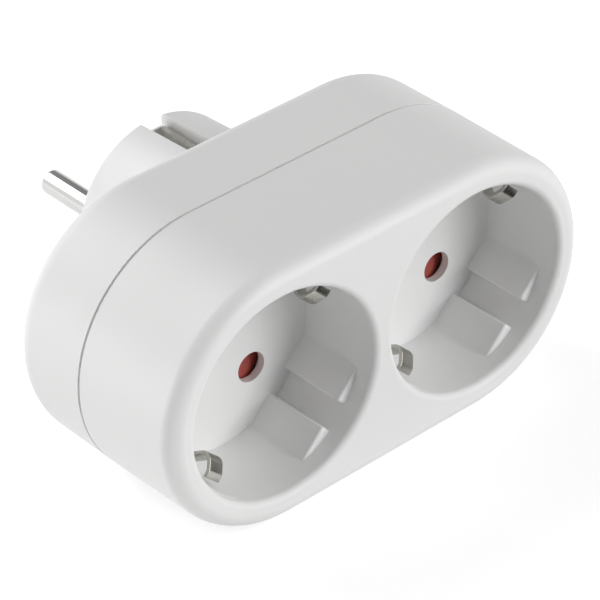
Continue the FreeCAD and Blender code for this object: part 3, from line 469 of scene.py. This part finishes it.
def lathe(name: str, profile: list[tuple[float, float]], axis_x: float) -> bpy.types.Object:
    """Turn a profile about a line along Y at height zero.

    Args:
        name: Name of the new object.
        profile: Radius and Y of each point, from one end to the other. Ends on the axis close.
        axis_x: X of the axis.

    Returns:
        The turned piece, smooth, with its faces outwards.
    """
    work = bmesh.new()
    angles = [2 * math.pi * step / LATHE_STEPS for step in range(LATHE_STEPS)]
    rings = []
    for radius, y in profile:
        if radius < SAME_PLACE:
            rings.append([work.verts.new((axis_x, y, 0.0))])
            continue
        ring = [(axis_x + radius * math.cos(a), y, radius * math.sin(a)) for a in angles]
        rings.append([work.verts.new(point) for point in ring])
    for ring, following in zip(rings, rings[1:]):
        for step in range(LATHE_STEPS):
            corners = [
                ring[step % len(ring)],
                ring[(step + 1) % len(ring)],
                following[(step + 1) % len(following)],
                following[step % len(following)],
            ]
            work.faces.new(list(dict.fromkeys(corners)))
    bmesh.ops.recalc_face_normals(work, faces=work.faces)
    piece = cast(name, work)
    shade_smooth(piece)
    return piece


def arc(
    centre: tuple[float, float], radius: float, start: float, end: float, steps: int
) -> list[tuple[float, float]]:
    """Points of a round stretch of a profile.

    Args:
        centre: Centre of the round.
        radius: Its radius.
        start: First angle, in degrees.
        end: Last angle, in degrees.
        steps: Number of steps between them.

    Returns:
        The points, both ends included.
    """
    angles = [math.radians(start + (end - start) * step / steps) for step in range(steps + 1)]
    return [(centre[0] + radius * math.cos(a), centre[1] + radius * math.sin(a)) for a in angles]


def keep_edges_crisp(piece: bpy.types.Object) -> None:
    """Keep a smooth piece's real edges crisp."""
    piece.data.set_sharp_from_angle(angle=math.radians(CRISP_DEGREES))


@dataclass
class Housing:
    """Both mouldings of the block: round guide ends, parting groove and the clips' slots."""

    edge: float = 0.25 * MM
    guide_set_back: float = 4.0 * MM
    guide_round: float = 0.55 * MM
    guide_segments: int = 4
    end_radius: float = 25.2 * MM
    parting: float = -37.5 * MM
    groove_width: float = 0.35 * MM
    groove_depth: float = 0.4 * MM
    groove_lean: float = 0.01 * MM
    recess_radius: float = 19.4 * MM
    recess_draft: float = 0.2 * MM
    recess_depth: float = 17.8 * MM
    lining: float = 0.5 * MM
    lining_inset: float = 0.06 * MM
    lining_start: float = 1.9 * MM
    lining_half: float = math.radians(12.0)
    slot_start: float = 8.5 * MM
    slot_half: float = 2.4 * MM
    slot_steps: int = 3

    def build(self, shop: Workshop) -> None:
        """Finish both mouldings and line the clips' slots.

        Args:
            shop: The workshop that dresses and seats the pieces.
        """
        shop.soften("front_housing", Slot.HOUSING, self.edge, self.round_guides)
        shop.soften("rear_housing", Slot.HOUSING, self.edge, self.sink_groove)
        for side in Side:
            lining = self.line_slots(side)
            shop.seat(lining, "housing", Slot.HOUSING)

    def round_guides(self, work: bmesh.types.BMesh) -> None:
        """Round the front ends of the guide blocks.

        Args:
            work: The front moulding.
        """
        height = FRONT + self.guide_set_back
        ends = [f for f in work.faces if all(abs(v.co.y - height) < SAME_PLACE for v in f.verts)]
        edges = {edge for face in ends for edge in face.edges if edge.is_convex}
        LOG.info("%d guide ends with %d edges rounded", len(ends), len(edges))
        bmesh.ops.bevel(
            work,
            geom=list(edges),
            offset=self.guide_round,
            offset_type="OFFSET",
            segments=self.guide_segments,
            profile=0.5,
            affect="EDGES",
            clamp_overlap=True,
        )

    def sink_groove(self, work: bmesh.types.BMesh) -> None:
        """Sink the groove of the parting line into the rear moulding's edge.

        Args:
            work: The rear moulding.
        """
        back = self.parting + self.groove_width
        for height in (back, back - self.groove_lean):
            bmesh.ops.bisect_plane(
                work,
                geom=[*work.verts, *work.edges, *work.faces],
                plane_co=(0.0, height, 0.0),
                plane_no=(0.0, 1.0, 0.0),
                dist=SAME_PLACE,
            )
        for vertex in work.verts:
            x, y, z = vertex.co
            spine = Vector((max(-HALF_PITCH, min(HALF_PITCH, x)), y, 0.0))
            outward = vertex.co - spine
            at_edge = outward.length > self.end_radius - self.groove_depth
            if at_edge and y < back - self.groove_lean / 2:
                vertex.co = spine + outward.normalized() * (self.end_radius - self.groove_depth)

    def line_slots(self, side: Side) -> bpy.types.Object:
        """Line the recess wall round both clips, so that each comes through a narrow slot.

        Args:
            side: The socket.

        Returns:
            Both linings as one piece.
        """
        half = self.slot_half / self.recess_radius
        steps = self.slot_steps
        across = [half * share / steps for share in range(-steps, steps + 1)]
        turns = [-self.lining_half, *across, self.lining_half]
        depths = (self.lining_start, self.slot_start, self.recess_depth)
        work = bmesh.new()
        for middle in CLIP_TURNS:
            grid = []
            for depth in depths:
                draft = self.recess_draft * (1 - depth / self.recess_depth)
                radius = self.recess_radius + draft - self.lining_inset
                ring = []
                for angle in [middle + turn for turn in turns]:
                    x = side.value * HALF_PITCH + radius * math.sin(angle)
                    ring.append(work.verts.new((x, FRONT + depth, radius * math.cos(angle))))
                grid.append(ring)
            for row, (ring, following) in enumerate(zip(grid, grid[1:])):
                for step in range(len(turns) - 1):
                    in_slot = row == 1 and 1 <= step < len(turns) - 2
                    if not in_slot:
                        beside = step + 1
                        work.faces.new((ring[step], ring[beside], following[beside], following[step]))
        work.normal_update()
        for face in work.faces:
            centre = face.calc_center_median()
            inward = Vector((side.value * HALF_PITCH, centre.y, 0.0)) - centre
            if face.normal.dot(inward) < 0:
                face.normal_flip()
        piece = cast(f"slot_lining_{side.word}", work)
        thick = piece.modifiers.new("thickness", "SOLIDIFY")
        thick.thickness = self.lining
        thick.offset = -1.0
        apply_modifiers(piece)
        shade_smooth(piece)
        keep_edges_crisp(piece)
        return piece


@dataclass
class PlugPin:
    """One turned pin of the plug, from its riveted head to its rounded tip."""

    side: Side
    radius: float = 2.4 * MM
    length: float = 19 * MM
    tip: float = 1.0 * MM
    shank: float = 2.6 * MM
    collar: float = 3.4 * MM
    collar_front: float = -1.5 * MM
    collar_back: float = -3.0 * MM
    seat: float = -22.2 * MM
    neck: float = 1.4 * MM
    head: float = 2.05 * MM
    bar: float = 0.8 * MM
    head_height: float = 0.35 * MM
    head_flat: float = 1.23 * MM
    head_rise: float = 0.14 * MM
    chamfer: float = 0.15 * MM
    tip_steps: int = 12

    def profile(self) -> list[tuple[float, float]]:
        """Draw half of the pin's section.

        Returns:
            Radius and Y of each point, from the rivet head to the tip.
        """
        under = self.seat - self.bar
        c = self.chamfer
        return [
            (0.0, under - self.head_height),
            (self.head_flat, under - self.head_height),
            (self.head, under - self.head_rise),
            (self.head, under),
            (self.neck, under),
            (self.neck, self.seat),
            (self.radius - c, self.seat),
            (self.radius, self.seat + c),
            (self.radius, self.collar_back),
            (self.collar - c, self.collar_back),
            (self.collar, self.collar_back + c),
            (self.collar, self.collar_front - c),
            (self.collar - c, self.collar_front),
            (self.shank, self.collar_front),
            (self.shank, -c),
            (self.shank - c, 0.0),
            (self.radius, 0.0),
            (self.radius, self.length / 2),
            *arc((self.radius - self.tip, self.length - self.tip), self.tip, 0, 90, self.tip_steps),
            (0.0, self.length),
        ]

    def build(self, shop: Workshop) -> None:
        """Turn the pin and seat it in the plug.

        Args:
            shop: The workshop that dresses and seats the piece.
        """
        node = f"plug_pin_{self.side.word}"
        pin = lathe(node + "_turned", self.profile(), self.side.value * PIN_SPACING / 2)
        keep_edges_crisp(pin)
        shop.seat(pin, "housing", Slot.PIN, node)


@dataclass
class EarthClip:
    """The sprung end of an earth bracket, folded in through the recess wall.

    Depths run from the block's front face, and heights from the socket's axis to the strip's
    inner side.
    """

    side: Side
    width: float = 3.6 * MM
    thickness: float = 0.7 * MM
    bend: float = 1.2 * MM
    root_depth: float = 19.9 * MM
    tail_depth: float = 16.4 * MM
    peak_depth: float = 7.1 * MM
    end_depth: float = 4.95 * MM
    upright: float = 20.0 * MM
    peak: float = 14.1 * MM
    end_fold: float = 17.2 * MM
    end: float = 18.5 * MM
    bend_steps: int = 6

    def path(self) -> list[tuple[Vector, Vector]]:
        """Lay the strip's path, with its bends as arcs.

        Returns:
            Points along the strip's middle, each with the direction out of its outer side.
        """
        corners = [
            Vector((self.root_depth, self.upright)),
            Vector((self.tail_depth, self.upright)),
            Vector((self.peak_depth, self.peak)),
            Vector((self.end_depth, self.end_fold)),
            Vector((self.end_depth, self.end)),
        ]
        ways = [(end - start).normalized() for start, end in zip(corners, corners[1:])]
        outs = [Vector((way.y, -way.x)) for way in ways]
        half = self.thickness / 2
        middle = [corners[0] + outs[0] * half]
        for corner, before, after in zip(corners[1:], outs, outs[1:]):
            mitre = before + after
            middle.append(corner + mitre * (half / mitre.dot(before)))
        middle.append(corners[-1] + outs[-1] * half)
        radius = self.bend + half
        points = [(middle[0], outs[0])]
        for corner, before, after in zip(middle[1:], ways, ways[1:]):
            turn = before.angle_signed(after)
            run = radius * math.tan(abs(turn) / 2)
            centre_way = Vector((before.y, -before.x)) * math.copysign(1.0, turn)
            centre = corner - before * run + centre_way * radius
            for step in range(self.bend_steps + 1):
                spin = Matrix.Rotation(-turn * step / self.bend_steps, 2)
                out = Vector((before.y, -before.x))
                out.rotate(spin)
                arm = -centre_way
                arm.rotate(spin)
                points.append((centre + arm * radius, out))
        points.append((middle[-1], outs[-1]))
        return points

    def fold(self, work: bmesh.types.BMesh, middle: float) -> None:
        """Add the clip to its bracket.

        Args:
            work: The bracket.
            middle: The clip's place round the socket, as a turn about Y from straight up.
        """
        place = Matrix.Translation((self.side.value * HALF_PITCH, FRONT, 0.0))
        place = place @ Matrix.Rotation(middle, 4, "Y")
        rings = []
        for point, out in self.path():
            ring = []
            for across, along in ((-1, -1), (1, -1), (1, 1), (-1, 1)):
                spot = point + out * (along * self.thickness / 2)
                corner = Vector((across * self.width / 2, spot.x, spot.y))
                ring.append(work.verts.new(place @ corner))
            rings.append(ring)
        faces = [work.faces.new(rings[0]), work.faces.new(rings[-1])]
        for ring, following in zip(rings, rings[1:]):
            for step in range(4):
                beside = (step + 1) % 4
                corners = (ring[step], ring[beside], following[beside], following[step])
                faces.append(work.faces.new(corners))
        bmesh.ops.recalc_face_normals(work, faces=faces)


@dataclass
class EarthPath:
    """The folded strips that carry the earth from the sockets to the plug."""

    edge: float = 0.12 * MM
    cut: float = -41.65 * MM

    def build(self, shop: Workshop) -> None:
        """Fold the clips, round the strips' cut edges and dress them.

        Args:
            shop: The workshop that dresses and seats the pieces.
        """
        for side in Side:
            fold = partial(self.renew_clips, side)
            shop.soften(f"earth_bracket_{side.word}", Slot.STRIP, self.edge, fold)
        for node in ("plug_earth_bracket", "earth_link"):
            shop.soften(node, Slot.STRIP, self.edge)
        shop.dress_node("earth_post", Slot.RIVET)

    def renew_clips(self, side: Side, work: bmesh.types.BMesh) -> None:
        """Give a bracket narrow, deep clips in place of the solid's plain ones.

        Args:
            side: The bracket's socket.
            work: The bracket.
        """
        cut = bmesh.ops.bisect_plane(
            work,
            geom=[*work.verts, *work.edges, *work.faces],
            plane_co=(0.0, self.cut, 0.0),
            plane_no=(0.0, -1.0, 0.0),
            clear_outer=True,
        )
        edges = [item for item in cut["geom_cut"] if isinstance(item, bmesh.types.BMEdge)]
        bmesh.ops.contextual_create(work, geom=edges)
        clip = EarthClip(side)
        for middle in CLIP_TURNS:
            clip.fold(work, middle)


@dataclass
class ShutterUnit:
    """One socket's shutter with the torsion spring round its pivot."""

    side: Side
    edge: float = 0.2 * MM
    wire: float = 0.16 * MM
    coil: float = 2.5 * MM
    turns: float = 2.5
    pitch: float = 0.4 * MM
    bend: float = 0.07
    front_tip: float = 0.6 * MM
    rear_tip: float = 1.0 * MM

    def build(self, shop: Workshop) -> None:
        """Soften the shutter and wind its spring.

        Args:
            shop: The workshop that dresses and seats the pieces.
        """
        shop.soften(f"shutter_{self.side.word}", Slot.SHUTTER, self.edge)
        node = f"shutter_spring_{self.side.word}"
        spring = self.wind(node, shop.materials[Slot.SPRING])
        shop.seat(spring, "housing", Slot.SPRING, node)

    def wind(self, node: str, material: bpy.types.Material) -> bpy.types.Object:
        """Wind the coil with geometry nodes.

        Args:
            node: The CAD spring that gives the place.
            material: The wire's finish.

        Returns:
            The coil as a plain mesh.
        """
        low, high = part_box(node)
        start = low.y + self.front_tip + self.wire
        piece = link(node + "_coil", bpy.data.meshes.new(node + "_coil"))
        tree = coil_tree(material)
        sizes = {
            "Coil Radius": self.coil,
            "Wire Radius": self.wire,
            "Turns": self.turns,
            "Length": self.turns * self.pitch,
            "Start Tip": self.front_tip,
            "End Tip": high.y - start - self.turns * self.pitch,
            "Bend": self.bend,
            "Place": Vector((self.side.value * HALF_PITCH, start, 0.0)),
            "Turn": SOCKET_TURN,
        }
        grow(piece, tree, sizes)
        return piece


def grow(piece: bpy.types.Object, tree: bpy.types.NodeTree, sizes: dict[str, Any]) -> None:
    """Run a geometry node tree on a piece and keep the result as a plain mesh.

    Args:
        piece: The object that carries the tree.
        tree: The geometry node tree.
        sizes: Value of each named input.
    """
    modifier = piece.modifiers.new(tree.name, "NODES")
    modifier.node_group = tree
    for item in tree.interface.items_tree:
        if item.item_type == "SOCKET" and item.in_out == "INPUT" and item.name in sizes:
            modifier[item.identifier] = sizes[item.name]
    apply_modifiers(piece)


def new_tree(name: str, sizes: dict[str, str]) -> tuple[bpy.types.NodeTree, bpy.types.Node]:
    """Start a geometry node tree with named inputs.

    Args:
        name: The tree's name.
        sizes: Socket type of each input, by name.

    Returns:
        The tree and its input node.
    """
    tree = bpy.data.node_groups.new(name, "GeometryNodeTree")
    tree.interface.new_socket("Geometry", in_out="INPUT", socket_type="NodeSocketGeometry")
    for size, kind in sizes.items():
        tree.interface.new_socket(size, in_out="INPUT", socket_type=kind)
    tree.interface.new_socket("Geometry", in_out="OUTPUT", socket_type="NodeSocketGeometry")
    return tree, add_node(tree, "NodeGroupInput")


def coil_tree(material: bpy.types.Material) -> bpy.types.NodeTree:
    """Geometry nodes for a coil of wire along Y whose two ends bend over along its axis.

    Args:
        material: The wire's finish.

    Returns:
        The tree.
    """
    number = "NodeSocketFloat"
    names = ("Coil Radius", "Wire Radius", "Turns", "Length", "Start Tip", "End Tip", "Bend", "Turn")
    tree, given = new_tree("wire_coil", {**{n: number for n in names}, "Place": "NodeSocketVector"})
    size = given.outputs
    spiral = add_node(
        tree,
        "GeometryNodeCurveSpiral",
        {
            "Resolution": COIL_STEPS,
            "Rotations": size["Turns"],
            "Start Radius": size["Coil Radius"],
            "End Radius": size["Coil Radius"],
            "Height": size["Length"],
        },
    )
    from_start = add_node(tree, "GeometryNodeSplineParameter").outputs["Factor"]
    from_end = compute(tree, "SUBTRACT", 1.0, from_start)
    lifts = []
    for way, tip in ((from_start, "Start Tip"), (from_end, "End Tip")):
        share = add_node(
            tree, "ShaderNodeMapRange", {"Value": way, "From Min": size["Bend"], "From Max": 0.0}
        )
        curve = compute(tree, "POWER", share.outputs[0], 2.0)
        lifts.append(compute(tree, "MULTIPLY", curve, size[tip]))
    lift = compute(tree, "SUBTRACT", lifts[1], lifts[0])
    offset = add_node(tree, "ShaderNodeCombineXYZ", {"Z": lift})
    bent = add_node(
        tree,
        "GeometryNodeSetPosition",
        {"Geometry": spiral.outputs[0], "Offset": offset.outputs[0]},
    )
    section = add_node(
        tree,
        "GeometryNodeCurvePrimitiveCircle",
        {"Resolution": WIRE_SIDES, "Radius": size["Wire Radius"]},
    )
    wire = add_node(
        tree,
        "GeometryNodeCurveToMesh",
        {"Curve": bent.outputs[0], "Profile Curve": section.outputs[0], "Fill Caps": True},
    )
    smooth = add_node(tree, "GeometryNodeSetShadeSmooth", {"Geometry": wire.outputs[0]})
    laid = add_node(
        tree,
        "GeometryNodeTransform",
        {"Geometry": smooth.outputs[0], "Rotation": (-math.pi / 2, 0.0, 0.0)},
    )
    turn = add_node(tree, "ShaderNodeCombineXYZ", {"Y": size["Turn"]})
    placed = add_node(
        tree,
        "GeometryNodeTransform",
        {"Geometry": laid.outputs[0], "Rotation": turn.outputs[0], "Translation": size["Place"]},
    )
    finish_tree(tree, placed.outputs[0], material)
    return tree


def finish_tree(
    tree: bpy.types.NodeTree, geometry: bpy.types.NodeSocket, material: bpy.types.Material
) -> None:
    """End a geometry node tree in plain faces with their finish.

    Args:
        tree: The tree to end.
        geometry: The socket that gives the shape.
        material: The finish.
    """
    real = add_node(tree, "GeometryNodeRealizeInstances", {"Geometry": geometry})
    dressed = add_node(
        tree, "GeometryNodeSetMaterial", {"Geometry": real.outputs[0], "Material": material}
    )
    add_node(tree, "NodeGroupOutput", {"Geometry": dressed.outputs[0]})


@dataclass
class CurrentPath:
    """Contacts, busbars and the rivets that join them."""

    edge: float = 0.1 * MM
    shank: float = 0.95 * MM
    head: float = 1.6 * MM
    head_height: float = 0.35 * MM

    def build(self, shop: Workshop) -> None:
        """Dress the sheet pieces and set the rivets.

        Args:
            shop: The workshop that dresses and seats the pieces.
        """
        for side in Side:
            for height in ("upper", "lower"):
                shop.soften(f"pin_contact_{side.word}_{height}", Slot.SHEET, self.edge)
        for node in ("live_busbar", "neutral_busbar"):
            shop.soften(node, Slot.SHEET, self.edge)
        rivets = self.set_rivets(shop.materials[Slot.RIVET])
        shop.seat(rivets, "housing", Slot.RIVET, "contact_rivets")

    def set_rivets(self, material: bpy.types.Material) -> bpy.types.Object:
        """Put a domed rivet through each contact's base.

        Args:
            material: The rivets' finish.

        Returns:
            The four rivets as one plain mesh.
        """
        low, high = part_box("contact_rivets")
        reach = PIN_SPACING / 2
        holes = []
        for side in Side:
            for along in (-1, 1):
                x = side.value * HALF_PITCH + along * reach * math.cos(SOCKET_TURN)
                holes.append((x, (low.y + high.y) / 2, -along * reach * math.sin(SOCKET_TURN)))
        mesh = bpy.data.meshes.new("contact_rivet_set")
        mesh.from_pydata(holes, [], [])
        piece = link("contact_rivet_set", mesh)
        sizes = {
            "Shank Radius": self.shank,
            "Head Radius": self.head,
            "Head Height": self.head_height,
            "Length": high.y - low.y,
        }
        grow(piece, rivet_tree(material), sizes)
        return piece


def rivet_tree(material: bpy.types.Material) -> bpy.types.NodeTree:
    """Geometry nodes that set a rivet with two domed heads at every point, along Y.

    Args:
        material: The rivets' finish.

    Returns:
        The tree.
    """
    number = "NodeSocketFloat"
    names = ("Shank Radius", "Head Radius", "Head Height", "Length")
    tree, given = new_tree("domed_rivets", {name: number for name in names})
    size = given.outputs
    shank = add_node(
        tree,
        "GeometryNodeMeshCylinder",
        {"Vertices": RIVET_SIDES, "Radius": size["Shank Radius"], "Depth": size["Length"]},
    )
    squash = compute(tree, "DIVIDE", size["Head Height"], size["Head Radius"])
    flat = add_node(tree, "ShaderNodeCombineXYZ", {"X": 1.0, "Y": 1.0, "Z": squash})
    ball = add_node(
        tree,
        "GeometryNodeMeshUVSphere",
        {"Segments": RIVET_SIDES, "Rings": RIVET_SIDES // 2, "Radius": size["Head Radius"]},
    )
    half = compute(tree, "MULTIPLY", size["Length"], 0.5)
    seat = compute(tree, "SUBTRACT", half, size["Head Height"])
    shapes = [shank.outputs["Mesh"]]
    for sign in (-1.0, 1.0):
        height = compute(tree, "MULTIPLY", seat, sign)
        place = add_node(tree, "ShaderNodeCombineXYZ", {"Z": height})
        head = add_node(
            tree,
            "GeometryNodeTransform",
            {
                "Geometry": ball.outputs["Mesh"],
                "Scale": flat.outputs[0],
                "Translation": place.outputs[0],
            },
        )
        shapes.append(head.outputs[0])
    joined = add_node(tree, "GeometryNodeJoinGeometry")
    for shape in reversed(shapes):
        tree.links.new(shape, joined.inputs[0])
    smooth = add_node(tree, "GeometryNodeSetShadeSmooth", {"Geometry": joined.outputs[0]})
    upright = add_node(
        tree,
        "GeometryNodeTransform",
        {"Geometry": smooth.outputs[0], "Rotation": (math.pi / 2, 0.0, 0.0)},
    )
    points = add_node(tree, "GeometryNodeMeshToPoints", {"Mesh": size["Geometry"]})
    spread = add_node(
        tree,
        "GeometryNodeInstanceOnPoints",
        {"Points": points.outputs[0], "Instance": upright.outputs[0]},
    )
    finish_tree(tree, spread.outputs[0], material)
    return tree


@dataclass
class Fasteners:
    """The two screws that hold the mouldings together."""

    edge: float = 0.12 * MM

    def build(self, shop: Workshop) -> None:
        """Dress the screws."""
        for side in Side:
            shop.soften(f"housing_screw_{side.word}", Slot.SCREW, self.edge)


@dataclass
class Carrier:
    """The moulded carrier behind the recess floors."""

    edge: float = 0.12 * MM

    def build(self, shop: Workshop) -> None:
        """Round the carrier's edges and dress it."""
        shop.soften("contact_carrier", Slot.CARRIER, self.edge)


@dataclass(frozen=True)
class Lamp:
    """One large soft lamp of the studio."""

    name: str
    place: tuple[float, float, float]
    width: float
    height: float
    watts: float

    def hang(self, target: Vector) -> None:
        """Hang the lamp and point it at the adapter.

        Args:
            target: The point that it faces.
        """
        light = bpy.data.lights.new(self.name, "AREA")
        light.shape = "RECTANGLE"
        light.size = self.width
        light.size_y = self.height
        light.energy = self.watts
        lamp = bpy.data.objects.new(self.name, light)
        lamp.location = self.place
        lamp.rotation_mode = "QUATERNION"
        lamp.rotation_quaternion = (target - Vector(self.place)).to_track_quat("-Z", "Y")
        bpy.context.scene.collection.objects.link(lamp)


@dataclass(frozen=True)
class Card:
    """A glowing sheet that only gloss and metal show: it paints grey or dark reflections into them,
    and neither lights nor shades anything.
    """

    name: str
    place: tuple[float, float, float]
    facing: tuple[float, float, float]
    width: float
    tone: str

    def hang(self) -> None:
        """Put the card in its place."""
        half = self.width / 2
        corners = [(-half, -half, 0.0), (half, -half, 0.0), (half, half, 0.0), (-half, half, 0.0)]
        mesh = bpy.data.meshes.new(self.name)
        mesh.from_pydata(corners, [], [(0, 1, 2, 3)])
        turn = Vector(self.facing).to_track_quat("Z", "Y").to_matrix().to_4x4()
        mesh.transform(Matrix.Translation(self.place) @ turn)
        reflection_card = link(self.name, mesh)
        material, tree = bare_material(self.name)
        # The sheet glows in its tone, no lamp: a painted reflection
        glow = add_node(tree, "ShaderNodeEmission", {"Color": linear(self.tone), "Strength": 1.0})
        add_node(tree, "ShaderNodeOutputMaterial", {"Surface": glow.outputs[0]})
        mesh.materials.append(material)
        reflection_card.visible_camera = False
        reflection_card.visible_diffuse = False
        reflection_card.visible_shadow = False


@dataclass
class Studio:
    """Floor, lamps, cards that paint reflections, white surroundings and the camera."""

    camera_place: tuple[float, float, float] = (-0.29111, -0.39238, 0.31791)
    heading: float = -39.493
    elevation: float = -34.955
    roll: float = -2.765
    lens: float = 194.613
    sensor: float = 36.0
    near: float = 0.05
    far: float = 20.0
    floor_radius: float = 0.8
    floor_gap: float = 0.02 * MM
    floor_tone: str = "#F4F4F4"
    floor_roughness: float = 0.9
    floor_glow: float = 0.5
    ambient: float = 0.191
    lamps: tuple[Lamp, ...] = (
        Lamp("left_softbox", (-1.13, 0.38, 0.1), width=0.5, height=0.35, watts=6.1),
        Lamp("rear_overhead_softbox", (-0.3, 0.9, 0.8), width=0.8, height=0.8, watts=8.9),
        Lamp("front_right_strip", (0.5, -1.2, 0.1), width=0.6, height=0.25, watts=5.8),
        Lamp("front_right_softbox", (0.6, -0.9, 0.7), width=0.7, height=0.7, watts=5.65),
    )
    # Painted reflections, seen only in gloss: a grey sheet behind and above the adapter, a dark one
    # on the floor in front of it
    cards: tuple[Card, ...] = (
        Card("grey_card", (0.55, 0.75, 0.62), (-0.55, -0.75, -0.62), width=0.75, tone="#949494"),
        Card("dark_card", (0.1, -0.17, -0.0245), (0.0, 0.0, 1.0), width=0.2, tone="#303030"),
    )

    def build(self) -> None:
        """Set the whole studio up round the adapter."""
        low, high = CAD_BOX
        self.lay_floor(low.z)
        self.light_world()
        for lamp in self.lamps:
            lamp.hang((low + high) / 2)
        for reflection_card in self.cards:
            reflection_card.hang()
        self.place_camera()
        bpy.context.scene.view_settings.view_transform = "Standard"

    def lay_floor(self, height: float) -> None:
        """Lay a large round pale floor.

        Args:
            height: Z of the floor.
        """
        work = bmesh.new()
        bmesh.ops.create_circle(
            work, cap_ends=True, segments=FLOOR_SIDES, radius=self.floor_radius
        )
        bmesh.ops.translate(work, verts=work.verts, vec=(0.0, 0.0, height - self.floor_gap))
        floor = cast("studio_floor", work)
        floor.data.materials.append(self.floor_material())

    def floor_material(self) -> bpy.types.Material:
        """Matt white paper that shows white, keeps the adapter's shadow and lights nothing more.

        Returns:
            The material.
        """
        material, tree = bare_material("matt_white_paper")
        seen = white_rays(tree)
        glow = compute(tree, "MULTIPLY", seen, self.floor_glow)
        shader = add_node(
            tree,
            "ShaderNodeBsdfPrincipled",
            {
                "Base Color": linear(self.floor_tone),
                "Roughness": self.floor_roughness,
                "Specular IOR Level": 0.0,
                "Emission Color": (1.0, 1.0, 1.0, 1.0),
                "Emission Strength": glow,
            },
        )
        add_node(tree, "ShaderNodeOutputMaterial", {"Surface": shader.outputs[0]})
        return material

    def light_world(self) -> None:
        """White surroundings: full white to the eye and in gloss, dimmer as a light."""
        world = bpy.data.worlds.new("white_studio")
        bpy.context.scene.world = world
        world.use_nodes = True
        tree = world.node_tree
        tree.nodes.clear()
        seen = white_rays(tree)
        strength = add_node(
            tree, "ShaderNodeMapRange", {"Value": seen, "To Min": self.ambient, "To Max": 1.0}
        )
        sky = add_node(
            tree,
            "ShaderNodeBackground",
            {"Color": (1.0, 1.0, 1.0, 1.0), "Strength": strength.outputs[0]},
        )
        add_node(tree, "ShaderNodeOutputWorld", {"Surface": sky.outputs[0]})

    def place_camera(self) -> None:
        """Put the camera where the photograph was taken from."""
        data = bpy.data.cameras.new("photo_camera")
        data.lens = self.lens
        data.sensor_width = self.sensor
        data.clip_start = self.near
        data.clip_end = self.far
        camera = bpy.data.objects.new("photo_camera", data)
        bpy.context.scene.collection.objects.link(camera)
        camera.matrix_world = (
            Matrix.Translation(self.camera_place)
            @ Matrix.Rotation(math.radians(self.heading), 4, "Z")
            @ Matrix.Rotation(math.radians(90 + self.elevation), 4, "X")
            @ Matrix.Rotation(math.radians(self.roll), 4, "Z")
        )
        bpy.context.scene.camera = camera


def white_rays(tree: bpy.types.NodeTree) -> bpy.types.NodeSocket:
    """Socket that is 1 for camera, glossy and transmission rays and 0 for the rest.

    Args:
        tree: The tree that gets the nodes.

    Returns:
        The socket.
    """
    rays = add_node(tree, "ShaderNodeLightPath").outputs
    gloss = compute(tree, "MAXIMUM", rays["Is Camera Ray"], rays["Is Glossy Ray"])
    return compute(tree, "MAXIMUM", gloss, rays["Is Transmission Ray"])


def main() -> None:
    """Build the studio and every sub-assembly in order."""
    logging.basicConfig(level=logging.INFO, format="%(name)s: %(message)s")
    Studio().build()
    shop = Workshop()
    Housing().build(shop)
    Carrier().build(shop)
    EarthPath().build(shop)
    CurrentPath().build(shop)
    Fasteners().build(shop)
    for side in Side:
        ShutterUnit(side).build(shop)
        PlugPin(side).build(shop)


if __name__ == "__main__":
    main()
